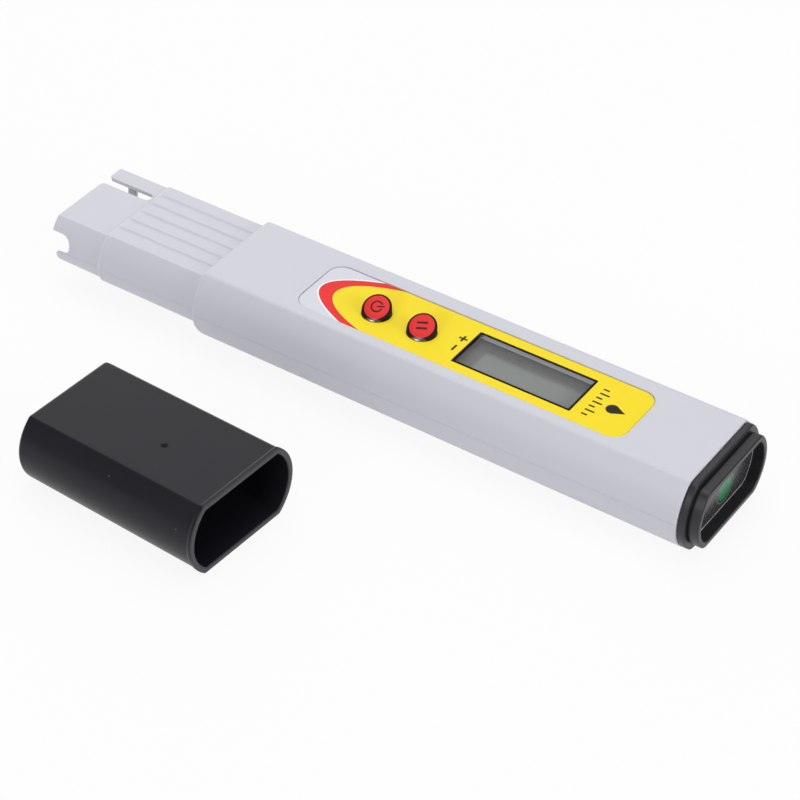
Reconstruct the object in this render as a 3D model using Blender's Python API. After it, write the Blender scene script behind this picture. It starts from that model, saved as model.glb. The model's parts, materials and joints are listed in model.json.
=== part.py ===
"""A pen-type water tester and its protective cap, as separate solids.

Metres, +Z up. The pen lies on its flat back with the display up and the nose towards -X.
The origin is the middle of the flat back. Places along the pen are counted from the tip of
the nose and turned into world places by along(). The cap lies taken off in front of the pen.
"""

import math

import bmesh
import bpy
from mathutils import Matrix, Vector

MM = 0.001

# Outside of the pen
BODY_LENGTH = 111.0 * MM
BODY_WIDTH = 30.4 * MM
BODY_HEIGHT = 17.0 * MM
TOP_FLAT_WIDTH = 21.9 * MM
TIP_LENGTH = 12.2 * MM
RIBBED_LENGTH = 24.8 * MM
SHOULDER_LENGTH = 1.0 * MM
NOSE_INSET = 1.25 * MM
TIP_INSET = 1.6 * MM
TIP_STEP_LENGTH = 0.5 * MM
SIDE_STEPS = 10
SHARP_ANGLE = math.radians(35)

# Where the shoulder bends, as shares of its length and of its height
SHOULDER_BEND = 0.3
SHOULDER_BEND_INSET = 0.35

# Shells
BODY_WALL = 1.8 * MM
NOSE_WALL = 1.5 * MM
PARTING_HEIGHT = 9.0 * MM
PARTING_GAP = 0.3 * MM

# Grip grooves on the nose
GROOVE_COUNT = 5
GROOVE_SPACING = 3.5 * MM
GROOVE_WIDTH = 0.9 * MM
GROOVE_DEPTH = 0.4 * MM
GROOVE_MARGIN_FRONT = 0.9 * MM
GROOVE_MARGIN_REAR = 0.6 * MM

# Water ways of the tip: a slot made twice, turned half a turn about the pen's axis, a notch in
# the near side and a port in the far side
SLOT_LENGTH = 11.8 * MM
SLOT_WIDTH = 2.4 * MM
SLOT_OFFSET = 5.4 * MM
NOTCH_LENGTH = 4.6 * MM
NOTCH_HEIGHT = 4.4 * MM
NOTCH_RISE = 2.1 * MM
PORT_START = 2.2 * MM
PORT_LENGTH = 6.4 * MM
PORT_HEIGHT = 5.2 * MM
PORT_RISE = 1.0 * MM
SLOT_SIDES = 8

# Label, between its margins on the body
LABEL_START = 19.4 * MM
LABEL_END_MARGIN = 16.5 * MM
LABEL_WIDTH = 16.2 * MM
LABEL_CORNER = 3.4 * MM
LABEL_THICKNESS = 0.3 * MM
LABEL_SINK = 0.4 * MM
LABEL_CLEARANCE = 0.15 * MM
FACE_OFFSET = -0.5 * MM
CORNER_STEPS = 5

# Buttons and switches
POWER_START = 34.7 * MM
BUTTON_PITCH = 10.6 * MM
BUTTON_RADIUS = 3.0 * MM
BUTTON_RISE = 2.7 * MM
BUTTON_DOME = 1.8 * MM
BUTTON_OFFSET = -1.1 * MM
BUTTON_CLEARANCE = 0.25 * MM
BUTTON_FLANGE = 1.0 * MM
BUTTON_FLANGE_THICKNESS = 0.8 * MM
BUTTON_TRAVEL = 0.6 * MM
SWITCH_SIDE = 6.0 * MM
SWITCH_FLOOR = 0.9 * MM
PLUNGER_RADIUS = 1.6 * MM
PLUNGER_OVERLAP = 1.0 * MM
MOVING_GAP = 0.3 * MM
ROUND_SIDES = 28
PLUNGER_SIDES = 16

# Rounded top of a button, as shares of its radius and of its dome's height
BUTTON_CROWN = ((1.0, 1.0), (0.94, 0.65), (0.76, 0.28), (0.42, 0.0))

# Display, from a gap past the hold button to a gap before the rear posts of the board
DISPLAY_FRONT_GAP = 10.3 * MM
GLASS_END_GAP = 0.2 * MM
DISPLAY_WIDTH = 11.1 * MM
WINDOW_THICKNESS = 1.2 * MM
WINDOW_CLEARANCE = 0.15 * MM
GLASS_MARGIN = 1.8 * MM
GLASS_THICKNESS = 1.8 * MM
STRIP_WIDTH = 2.0 * MM
STRIP_MARGIN = 0.6 * MM

# Circuit board
BOARD_DEPTH = 7.0 * MM
BOARD_THICKNESS = 1.2 * MM
BOARD_WIDTH = 21.0 * MM
BOARD_START = 20.0 * MM
BOARD_REAR_GAP = 2.6 * MM
BOSS_INSET = 3.6 * MM
BOSS_OFFSET = 8.2 * MM
BOSS_RADIUS = 2.1 * MM
SCREW_RADIUS = 0.9 * MM
SCREW_LENGTH = 3.4 * MM
SCREW_HEAD_RADIUS = 1.9 * MM
SCREW_HEAD_HEIGHT = 1.1 * MM
SCREW_CLEARANCE = 0.15 * MM
BLOB_RADIUS = 4.2 * MM
BLOB_HEIGHT = 1.5 * MM
BLOB_START = 47.0 * MM
BLOB_STEPS = 4
BLOB_SIDES = 20
BOSS_SIDES = 16
SCREW_SIDES = 12

# Batteries and their end cap
CELLS_PER_STACK = 2
CELL_RADIUS = 5.8 * MM
CELL_THICKNESS = 5.4 * MM
CELL_PITCH = 12.4 * MM
CELL_GAP = 0.1 * MM
CELL_CLEARANCE = 0.2 * MM
HOLDER_WALL = 1.8 * MM
CONTACT_THICKNESS = 0.3 * MM
CONTACT_SIDE = 7.0 * MM
CONTACT_SPRING_GAP = 0.4 * MM
TAB_WIDTH = 3.0 * MM
TAB_OVERLAP = 1.2 * MM
BRIDGE_WIDTH = 18.0 * MM
BRIDGE_HEIGHT = 5.0 * MM
PLUG_DEPTH = 4.4 * MM
PLUG_CLEARANCE = 0.3 * MM
FLANGE_INSET = 0.3 * MM
FLANGE_THICKNESS = 1.6 * MM
NECK_INSET = 2.3 * MM
NECK_LENGTH = 0.4 * MM
COLLAR_INSET = 1.55 * MM
COLLAR_LENGTH = 2.0 * MM
COLLAR_WALL = 1.2 * MM
RECESS_DEPTH = 2.7 * MM
SEAL_WIDTH = 1.2 * MM
SEAL_DEPTH = 0.9 * MM
SEAL_START = 1.6 * MM
END_LABEL_MARGIN = 0.2 * MM

# Electrode in the nose
ELECTRODE_RADIUS = 4.2 * MM
ELECTRODE_FRONT = 11.0 * MM
ELECTRODE_LENGTH = 34.0 * MM
STEM_RADIUS = 2.9 * MM
STEM_LENGTH = 6.2 * MM
JUNCTION_LENGTH = 1.3 * MM
PIN_RADIUS = 0.8 * MM
PIN_LENGTH = 1.4 * MM
PIN_SIDES = 14
BULKHEAD_START = 28.0 * MM
BULKHEAD_LENGTH = 6.0 * MM
LEAD_RADIUS = 0.5 * MM
LEAD_SPREAD = 1.7 * MM
LEAD_POINTS = 10

# Rounded tip of the glass stem, as shares of its radius: place behind its front, and radius
STEM_TIP = ((0.0, 0.5), (0.2, 0.85), (0.5, 1.0))

# Protective cap, where it lies
CAP_FIT = 0.25 * MM
CAP_END_WALL = 1.3 * MM
CAP_END_ROOM = 3.9 * MM
CAP_EDGE = 0.9 * MM
CAP_EDGE_STEPS = 3
CAP_PLACE = Vector((-39.2 * MM, -54.0 * MM, 0.0))
CAP_YAW = math.radians(-3.9)

# Gap between pieces that are seated on each other
SEAT = 0.1 * MM

# Cutters reach this far past what they cut
PAST = 2.0 * MM

# Worked out from the sizes above
NOSE_LENGTH = TIP_LENGTH + RIBBED_LENGTH + SHOULDER_LENGTH
BODY_END = NOSE_LENGTH + BODY_LENGTH
PEN_LENGTH = BODY_END + FLANGE_THICKNESS + NECK_LENGTH + COLLAR_LENGTH
MIDDLE_HEIGHT = BODY_HEIGHT / 2
LABEL_LENGTH = BODY_LENGTH - LABEL_START - LABEL_END_MARGIN
PLATE_UNDERSIDE = BODY_HEIGHT - BODY_WALL
BOARD_TOP = BODY_HEIGHT - BOARD_DEPTH
BOARD_BOTTOM = BOARD_TOP - BOARD_THICKNESS
LABEL_FLOOR = BODY_HEIGHT - LABEL_SINK
GLASS_TOP = PLATE_UNDERSIDE - SEAT
GLASS_BOTTOM = GLASS_TOP - GLASS_THICKNESS
BUTTON_SHELF = PLATE_UNDERSIDE - MOVING_GAP
BUTTON_BOTTOM = BUTTON_SHELF - BUTTON_FLANGE_THICKNESS
SWITCH_TOP = BUTTON_BOTTOM - BUTTON_TRAVEL - MOVING_GAP
NOSE_CAVITY_INSET = NOSE_INSET + NOSE_WALL
PLUG_FRONT = BODY_END - PLUG_DEPTH
BRIDGE_FRONT = PLUG_FRONT - SEAT - CONTACT_THICKNESS
STACK_LENGTH = CELLS_PER_STACK * (CELL_THICKNESS + CELL_GAP) - CELL_GAP
STACK_FRONT = BRIDGE_FRONT - CONTACT_SPRING_GAP - STACK_LENGTH
CONTACT_FRONT = STACK_FRONT - CONTACT_SPRING_GAP - CONTACT_THICKNESS
PARTITION_REAR = CONTACT_FRONT - SEAT
HOLDER_FRONT = PARTITION_REAR - HOLDER_WALL
BOARD_FRONT = NOSE_LENGTH + BOARD_START
BOARD_REAR = HOLDER_FRONT - BOARD_REAR_GAP
POWER_PLACE = NOSE_LENGTH + POWER_START
HOLD_PLACE = POWER_PLACE + BUTTON_PITCH
DISPLAY_FRONT = HOLD_PLACE + DISPLAY_FRONT_GAP
DISPLAY_REAR = BOARD_REAR - BOSS_INSET - BOSS_RADIUS - GLASS_END_GAP - GLASS_MARGIN
DISPLAY_LENGTH = DISPLAY_REAR - DISPLAY_FRONT
DISPLAY_MIDDLE = (DISPLAY_FRONT + DISPLAY_REAR) / 2
CAP_LENGTH = CAP_END_WALL + CAP_END_ROOM + NOSE_LENGTH


def along(distance):
    """World x of a place counted from the tip of the nose."""
    return distance - PEN_LENGTH / 2


def finish(name, colour, roughness, metallic=0.0):
    """A plain material with its colour, roughness and metallic value."""
    material = bpy.data.materials.new(name)
    material.use_nodes = True
    shader = material.node_tree.nodes["Principled BSDF"]
    shader.inputs["Base Color"].default_value = (*colour, 1.0)
    shader.inputs["Roughness"].default_value = roughness
    shader.inputs["Metallic"].default_value = metallic
    return material


def as_object(name, mesh, material=None, smooth=False):
    """Turns a bmesh into an object with its faces pointing out."""
    bmesh.ops.recalc_face_normals(mesh, faces=mesh.faces)
    data = bpy.data.meshes.new(name)
    mesh.to_mesh(data)
    mesh.free()
    if material:
        data.materials.append(material)
    if smooth:
        data.shade_smooth()
        data.set_sharp_from_angle(angle=SHARP_ANGLE)
    made = bpy.data.objects.new(name, data)
    bpy.context.scene.collection.objects.link(made)
    return made


def use(made, other, operation):
    """Adds a Boolean of the object with a helper, which is then hidden."""
    other.hide_render = True
    other.display_type = "WIRE"
    modifier = made.modifiers.new(other.name, "BOOLEAN")
    modifier.operation = operation
    modifier.object = other


def cut(made, name, mesh):
    use(made, as_object(name, mesh), "DIFFERENCE")


def join(made, name, mesh):
    use(made, as_object(name, mesh), "UNION")


def move_origin(made, point):
    """Puts the object's origin at a point and leaves its shape where it is."""
    made.data.transform(Matrix.Translation(-Vector(point)))
    made.location = point


def section(inset):
    """Corners (y, z) of the pen's cross-section, drawn in by inset all round.

    Top and bottom are flat, and each side is an arc between their edges.
    """
    bulge = (BODY_WIDTH - TOP_FLAT_WIDTH) / 2
    radius = (MIDDLE_HEIGHT**2 + bulge**2) / (2 * bulge)
    centre = BODY_WIDTH / 2 - radius
    reach = math.asin((MIDDLE_HEIGHT - inset) / (radius - inset))
    side = []
    for step in range(SIDE_STEPS + 1):
        angle = reach * (2 * step / SIDE_STEPS - 1)
        y = centre + (radius - inset) * math.cos(angle)
        side.append((y, MIDDLE_HEIGHT + (radius - inset) * math.sin(angle)))
    return side + [(-y, BODY_HEIGHT - z) for y, z in side]


def skin(rings):
    """A closed mesh through rings of points, with its first and last ring filled."""
    mesh = bmesh.new()
    loops = [[mesh.verts.new(point) for point in ring] for ring in rings]
    for first, second in zip(loops, loops[1:]):
        for i in range(len(first)):
            j = (i + 1) % len(first)
            mesh.faces.new((first[i], first[j], second[j], second[i]))
    mesh.faces.new(loops[0])
    mesh.faces.new(loops[-1])
    return mesh


def loft(stations):
    """The pen's cross-section carried along x, by (x, inset) stations."""
    return skin([[(x, y, z) for y, z in section(inset)] for x, inset in stations])


def prism(outline, depth):
    """An outline pushed along a vector."""
    return skin([outline, [Vector(point) + Vector(depth) for point in outline]])


def block(low, high):
    x, y, z = low
    outline = [(x, y, z), (high[0], y, z), (high[0], high[1], z), (x, high[1], z)]
    return prism(outline, (0, 0, high[2] - z))


def circle(middle, radius, first, second, sides=ROUND_SIDES):
    """Points round a middle, in the plane of two unit directions."""
    turn = 2 * math.pi / sides
    points = []
    for i in range(sides):
        step = Vector(first) * math.cos(i * turn) + Vector(second) * math.sin(i * turn)
        points.append(Vector(middle) + step * radius)
    return points


def upright(middle, profile, sides=ROUND_SIDES):
    """A solid turned about Z: (radius, z) rings above a middle (x, y)."""
    return skin([circle((*middle, z), r, (1, 0, 0), (0, 1, 0), sides) for r, z in profile])


def lying(profile, y=0.0, z=MIDDLE_HEIGHT, sides=ROUND_SIDES):
    """A solid turned about X: (x, radius) rings on the line at y and z."""
    return skin([circle((x, y, z), r, (0, 1, 0), (0, 0, 1), sides) for x, r in profile])


def rounded(middle, length, width, corner, z, steps=CORNER_STEPS):
    """A rectangle with round corners, flat at height z."""
    points = []
    for quarter, (sx, sy) in enumerate(((1, 1), (-1, 1), (-1, -1), (1, -1))):
        centre = (middle[0] + sx * (length / 2 - corner), middle[1] + sy * (width / 2 - corner))
        for step in range(steps + 1):
            angle = math.pi / 2 * (quarter + step / steps)
            x = centre[0] + corner * math.cos(angle)
            points.append((x, centre[1] + corner * math.sin(angle), z))
    return points


def half_turned(points):
    """The same points, turned half a turn about the pen's own axis."""
    return [(x, -y, BODY_HEIGHT - z) for x, y, z in points]


def outer_stations():
    """The pen's outside from the tip to the end of the body."""
    step_end = TIP_LENGTH + TIP_STEP_LENGTH
    shoulder = NOSE_LENGTH - SHOULDER_LENGTH
    return [
        (along(0), TIP_INSET),
        (along(TIP_LENGTH), TIP_INSET),
        (along(step_end), NOSE_INSET),
        (along(shoulder), NOSE_INSET),
        (along(shoulder + SHOULDER_LENGTH * SHOULDER_BEND), NOSE_INSET * SHOULDER_BEND_INSET),
        (along(NOSE_LENGTH), 0.0),
        (along(BODY_END), 0.0),
    ]


def top_slot():
    """Outline at the top of the open slot in the tip, with a round end."""
    radius = SLOT_WIDTH / 2
    end = along(SLOT_LENGTH - radius)
    points = [(along(-PAST), SLOT_OFFSET - radius, BODY_HEIGHT)]
    for step in range(SLOT_SIDES + 1):
        angle = math.pi * (step / SLOT_SIDES - 0.5)
        y = SLOT_OFFSET + radius * math.sin(angle)
        points.append((end + radius * math.cos(angle), y, BODY_HEIGHT))
    points.append((along(-PAST), SLOT_OFFSET + radius, BODY_HEIGHT))
    return points


def side_notch():
    """Outline in the near side of the tip of the notch with a round end."""
    radius = NOTCH_HEIGHT / 2
    middle = MIDDLE_HEIGHT + NOTCH_RISE
    end = along(NOTCH_LENGTH - radius)
    near = -BODY_WIDTH / 2
    points = [(along(-PAST), near, middle - radius)]
    for step in range(SLOT_SIDES + 1):
        angle = math.pi * (step / SLOT_SIDES - 0.5)
        points.append((end + radius * math.cos(angle), near, middle + radius * math.sin(angle)))
    points.append((along(-PAST), near, middle + radius))
    return points


def far_port():
    """Outline in the far side of the tip of the port, with both its ends round."""
    radius = PORT_HEIGHT / 2
    middle = MIDDLE_HEIGHT + PORT_RISE
    far = BODY_WIDTH / 2
    points = []
    for end, sign in ((PORT_START + PORT_LENGTH - radius, 1), (PORT_START + radius, -1)):
        for step in range(SLOT_SIDES + 1):
            angle = math.pi * (step / SLOT_SIDES - 0.5)
            x = along(end) + sign * radius * math.cos(angle)
            points.append((x, far, middle + sign * radius * math.sin(angle)))
    return points


def hollow(shell):
    """Cuts the two cavities and the tip's water ways from a shell."""
    name = shell.name
    inside = BODY_WALL
    body_start = along(NOSE_LENGTH + BODY_WALL)
    cut(shell, name + "_body_cavity", loft([(body_start, inside), (along(BODY_END + PAST), inside)]))
    nose = [(along(-PAST), NOSE_CAVITY_INSET), (body_start + PAST, NOSE_CAVITY_INSET)]
    cut(shell, name + "_nose_cavity", loft(nose))
    slot_depth = NOSE_CAVITY_INSET + PAST
    notch_depth = BODY_WIDTH / 2 - SLOT_OFFSET - SLOT_WIDTH
    cut(shell, name + "_slot", prism(top_slot(), (0, 0, -slot_depth)))
    cut(shell, name + "_slot_turned", prism(half_turned(top_slot()), (0, 0, slot_depth)))
    cut(shell, name + "_notch", prism(side_notch(), (0, notch_depth, 0)))
    cut(shell, name + "_port", prism(far_port(), (0, -notch_depth, 0)))


def far_box(low_z, high_z):
    """A block wider than the pen, between two heights."""
    low = (along(-PAST), -BODY_WIDTH, low_z)
    return block(low, (along(BODY_END + PAST), BODY_WIDTH, high_z))


def face_place(distance):
    """World (x, y) on the face's centre line."""
    return along(distance), FACE_OFFSET


def button_places():
    return {"power": (along(POWER_PLACE), BUTTON_OFFSET), "hold": (along(HOLD_PLACE), BUTTON_OFFSET)}


def boss_places():
    """World (x, y) of the four posts that carry the board."""
    front = along(BOARD_FRONT + BOSS_INSET)
    rear = along(BOARD_REAR - BOSS_INSET)
    return [(x, y) for x in (front, rear) for y in (-BOSS_OFFSET, BOSS_OFFSET)]


def label_middle():
    return face_place(NOSE_LENGTH + LABEL_START + LABEL_LENGTH / 2)


def make_front_shell(material):
    shell = as_object("front_shell", loft(outer_stations()), material, smooth=True)
    hollow(shell)
    cut(shell, "front_shell_below", far_box(-PAST, PARTING_HEIGHT + PARTING_GAP / 2))
    groove_low = BODY_HEIGHT - NOSE_INSET - GROOVE_DEPTH
    front = along(TIP_LENGTH + GROOVE_MARGIN_FRONT)
    rear = along(NOSE_LENGTH - SHOULDER_LENGTH - GROOVE_MARGIN_REAR)
    for i in range(GROOVE_COUNT):
        y = (i - (GROOVE_COUNT - 1) / 2) * GROOVE_SPACING
        low = (front, y - GROOVE_WIDTH / 2, groove_low)
        cut(shell, f"groove_{i + 1}", block(low, (rear, y + GROOVE_WIDTH / 2, BODY_HEIGHT)))
    for i, place in enumerate(boss_places()):
        boss = [(BOSS_RADIUS, BOARD_TOP + SEAT), (BOSS_RADIUS, BODY_HEIGHT - BODY_WALL / 2)]
        join(shell, f"boss_{i + 1}", upright(place, boss, BOSS_SIDES))
        radius = SCREW_RADIUS + SCREW_CLEARANCE
        bore = [(radius, BOARD_BOTTOM), (radius, BOARD_BOTTOM + SCREW_LENGTH + SCREW_CLEARANCE)]
        cut(shell, f"boss_bore_{i + 1}", upright(place, bore, SCREW_SIDES))
    recess = rounded(label_middle(), LABEL_LENGTH, LABEL_WIDTH, LABEL_CORNER, LABEL_FLOOR)
    cut(shell, "label_recess", prism(recess, (0, 0, PAST)))
    corner = LABEL_CLEARANCE
    opening = rounded(face_place(DISPLAY_MIDDLE), DISPLAY_LENGTH, DISPLAY_WIDTH, corner, GLASS_TOP, 1)
    cut(shell, "window_opening", prism(opening, (0, 0, BODY_WALL + PAST)))
    hole = BUTTON_RADIUS + BUTTON_CLEARANCE
    for name, place in button_places().items():
        cut(shell, name + "_hole", upright(place, [(hole, BUTTON_SHELF), (hole, BODY_HEIGHT + PAST)]))


def make_rear_shell(material):
    shell = as_object("rear_shell", loft(outer_stations()), material, smooth=True)
    hollow(shell)
    cut(shell, "rear_shell_above", far_box(PARTING_HEIGHT - PARTING_GAP / 2, BODY_HEIGHT + PAST))


def make_front_label(material):
    length = LABEL_LENGTH - 2 * LABEL_CLEARANCE
    width = LABEL_WIDTH - 2 * LABEL_CLEARANCE
    low = LABEL_FLOOR + SEAT / 2
    outline = rounded(label_middle(), length, width, LABEL_CORNER - LABEL_CLEARANCE, low)
    label = as_object("front_label", prism(outline, (0, 0, LABEL_THICKNESS)), material)
    corner = LABEL_CLEARANCE
    opening = rounded(face_place(DISPLAY_MIDDLE), DISPLAY_LENGTH, DISPLAY_WIDTH, corner, GLASS_TOP, 1)
    cut(label, "label_window", prism(opening, (0, 0, BODY_WALL + PAST)))
    hole = BUTTON_RADIUS + BUTTON_CLEARANCE
    for name, place in button_places().items():
        around = [(hole, BUTTON_SHELF), (hole, BODY_HEIGHT + PAST)]
        cut(label, name + "_label_hole", upright(place, around))


def make_display(window, glass, rubber):
    middle = face_place(DISPLAY_MIDDLE)
    length = DISPLAY_LENGTH - 2 * WINDOW_CLEARANCE
    width = DISPLAY_WIDTH - 2 * WINDOW_CLEARANCE
    pane = rounded(middle, length, width, WINDOW_CLEARANCE, GLASS_TOP + SEAT, 1)
    as_object("display_window", prism(pane, (0, 0, WINDOW_THICKNESS)), window)
    half_length = DISPLAY_LENGTH / 2 + GLASS_MARGIN
    half_width = DISPLAY_WIDTH / 2 + GLASS_MARGIN
    low = (middle[0] - half_length, middle[1] - half_width, GLASS_BOTTOM)
    as_object("lcd_glass", block(low, (middle[0] + half_length, middle[1] + half_width, GLASS_TOP)), glass)
    for name, side in (("lcd_strip_near", -1), ("lcd_strip_far", 1)):
        y = middle[1] + side * (half_width - STRIP_MARGIN - STRIP_WIDTH / 2)
        low = (middle[0] - half_length + STRIP_MARGIN, y - STRIP_WIDTH / 2, BOARD_TOP + SEAT)
        high = (middle[0] + half_length - STRIP_MARGIN, y + STRIP_WIDTH / 2, GLASS_BOTTOM - SEAT)
        as_object(name, block(low, high), rubber)


def make_board(board, epoxy, steel):
    low = (along(BOARD_FRONT), -BOARD_WIDTH / 2, BOARD_BOTTOM)
    plate = as_object("circuit_board", block(low, (along(BOARD_REAR), BOARD_WIDTH / 2, BOARD_TOP)), board)
    hole = SCREW_RADIUS + SCREW_CLEARANCE
    head_top = BOARD_BOTTOM - SEAT
    for i, place in enumerate(boss_places()):
        through = [(hole, BOARD_BOTTOM - PAST), (hole, BOARD_TOP + PAST)]
        cut(plate, f"board_hole_{i + 1}", upright(place, through, SCREW_SIDES))
        profile = [
            (SCREW_HEAD_RADIUS, head_top - SCREW_HEAD_HEIGHT),
            (SCREW_HEAD_RADIUS, head_top),
            (SCREW_RADIUS, head_top),
            (SCREW_RADIUS, head_top + SCREW_LENGTH),
        ]
        as_object(f"board_screw_{i + 1}", upright(place, profile, SCREW_SIDES), steel, smooth=True)
    bottom = BOARD_BOTTOM - SEAT
    dome = []
    for step in range(BLOB_STEPS):
        angle = math.pi / 2 * step / BLOB_STEPS
        dome.append((BLOB_RADIUS * math.cos(angle), bottom - BLOB_HEIGHT * math.sin(angle)))
    place = face_place(NOSE_LENGTH + BLOB_START)
    as_object("controller_blob", upright(place, dome, BLOB_SIDES), epoxy, smooth=True)


def make_button(name, place, red, dark, nylon):
    """A button with its flange, the switch under it and the plunger between them."""
    top = BODY_HEIGHT + BUTTON_RISE
    profile = [
        (BUTTON_RADIUS + BUTTON_FLANGE, BUTTON_BOTTOM),
        (BUTTON_RADIUS + BUTTON_FLANGE, BUTTON_SHELF),
        (BUTTON_RADIUS, BUTTON_SHELF),
    ]
    profile += [(BUTTON_RADIUS * across, top - BUTTON_DOME * down) for across, down in BUTTON_CROWN]
    button = as_object(name + "_button", upright(place, profile), red, smooth=True)
    move_origin(button, (*place, BODY_HEIGHT))
    half = SWITCH_SIDE / 2
    low = (place[0] - half, place[1] - half, BOARD_TOP + SEAT)
    switch = as_object(name + "_switch", block(low, (place[0] + half, place[1] + half, SWITCH_TOP)), dark)
    bore = PLUNGER_RADIUS + MOVING_GAP
    floor = BOARD_TOP + SEAT + SWITCH_FLOOR
    well = [(bore, floor), (bore, SWITCH_TOP + PAST)]
    cut(switch, name + "_switch_well", upright(place, well, PLUNGER_SIDES))
    low_end = SWITCH_TOP - PLUNGER_OVERLAP
    post = [(PLUNGER_RADIUS, low_end), (PLUNGER_RADIUS, BUTTON_BOTTOM - SEAT)]
    plunger = as_object(name + "_plunger", upright(place, post, PLUNGER_SIDES), nylon, smooth=True)
    move_origin(plunger, (*place, BUTTON_BOTTOM))


def make_batteries(plastic, steel, brass):
    """The holder with two stacks of two cells, and the contacts at its inner end."""
    outside = BODY_WALL + CELL_CLEARANCE
    rear = STACK_FRONT + STACK_LENGTH
    holder = loft([(along(HOLDER_FRONT), outside), (along(rear), outside)])
    holder = as_object("battery_holder", holder, plastic, smooth=True)
    bore = CELL_RADIUS + CELL_CLEARANCE
    for i, side in enumerate((-1, 1)):
        y = side * CELL_PITCH / 2
        well = [(along(PARTITION_REAR), bore), (along(rear + PAST), bore)]
        cut(holder, f"cell_well_{i + 1}", lying(well, y))
        tab_low = BOARD_TOP + SEAT
        tab_high = tab_low + CONTACT_THICKNESS
        tab_front = along(BOARD_REAR - TAB_OVERLAP)
        slot_low = (along(HOLDER_FRONT - PAST), y - TAB_WIDTH / 2 - SEAT, tab_low - SEAT)
        slot_high = (along(PARTITION_REAR + PAST), y + TAB_WIDTH / 2 + SEAT, tab_high + SEAT)
        cut(holder, f"tab_slot_{i + 1}", block(slot_low, slot_high))
        half = CONTACT_SIDE / 2
        low = (along(CONTACT_FRONT), y - half, MIDDLE_HEIGHT - half)
        high = (along(CONTACT_FRONT + CONTACT_THICKNESS), y + half, MIDDLE_HEIGHT + half)
        contact = as_object(f"battery_contact_{i + 1}", block(low, high), brass)
        low = (tab_front, y - TAB_WIDTH / 2, tab_low)
        high = (along(CONTACT_FRONT + CONTACT_THICKNESS / 2), y + TAB_WIDTH / 2, tab_high)
        join(contact, f"contact_tab_{i + 1}", block(low, high))
        for j in range(CELLS_PER_STACK):
            start = STACK_FRONT + j * (CELL_THICKNESS + CELL_GAP)
            cell = lying([(along(start), CELL_RADIUS), (along(start + CELL_THICKNESS), CELL_RADIUS)], y)
            as_object(f"battery_cell_{CELLS_PER_STACK * i + j + 1}", cell, steel, smooth=True)


def make_end_cap(plastic, rubber, paper, brass):
    """The pull-off cap of the battery end, with what it carries."""
    plug = BODY_WALL + PLUG_CLEARANCE
    groove = plug + SEAL_DEPTH
    seal_front = PLUG_FRONT + SEAL_START
    flange_front = BODY_END + SEAT
    flange_rear = BODY_END + FLANGE_THICKNESS
    collar_front = flange_rear + NECK_LENGTH
    stations = [
        (PLUG_FRONT, plug),
        (seal_front, plug),
        (seal_front, groove),
        (seal_front + SEAL_WIDTH, groove),
        (seal_front + SEAL_WIDTH, plug),
        (flange_front, plug),
        (flange_front, FLANGE_INSET),
        (flange_rear, FLANGE_INSET),
        (flange_rear, NECK_INSET),
        (collar_front, NECK_INSET),
        (collar_front, COLLAR_INSET),
        (PEN_LENGTH, COLLAR_INSET),
    ]
    cap = as_object("end_cap", loft([(along(x), inset) for x, inset in stations]), plastic, smooth=True)
    recess = COLLAR_INSET + COLLAR_WALL
    floor = PEN_LENGTH - RECESS_DEPTH
    cut(cap, "end_recess", loft([(along(floor), recess), (along(PEN_LENGTH + PAST), recess)]))
    move_origin(cap, (along(BODY_END), 0.0, MIDDLE_HEIGHT))
    outer = BODY_WALL + SEAT
    inner = groove - SEAT
    low = along(seal_front + SEAT)
    high = along(seal_front + SEAL_WIDTH - SEAT)
    seal = as_object("end_seal", loft([(low, outer), (high, outer)]), rubber, smooth=True)
    cut(seal, "seal_hole", loft([(low - PAST, inner), (high + PAST, inner)]))
    label = recess + END_LABEL_MARGIN
    low = along(floor + SEAT)
    as_object("end_label", loft([(low, label), (low + LABEL_THICKNESS, label)]), paper)
    low = (along(BRIDGE_FRONT), -BRIDGE_WIDTH / 2, MIDDLE_HEIGHT - BRIDGE_HEIGHT / 2)
    high = (along(BRIDGE_FRONT + CONTACT_THICKNESS), BRIDGE_WIDTH / 2, MIDDLE_HEIGHT + BRIDGE_HEIGHT / 2)
    as_object("bridge_contact", block(low, high), brass)


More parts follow.
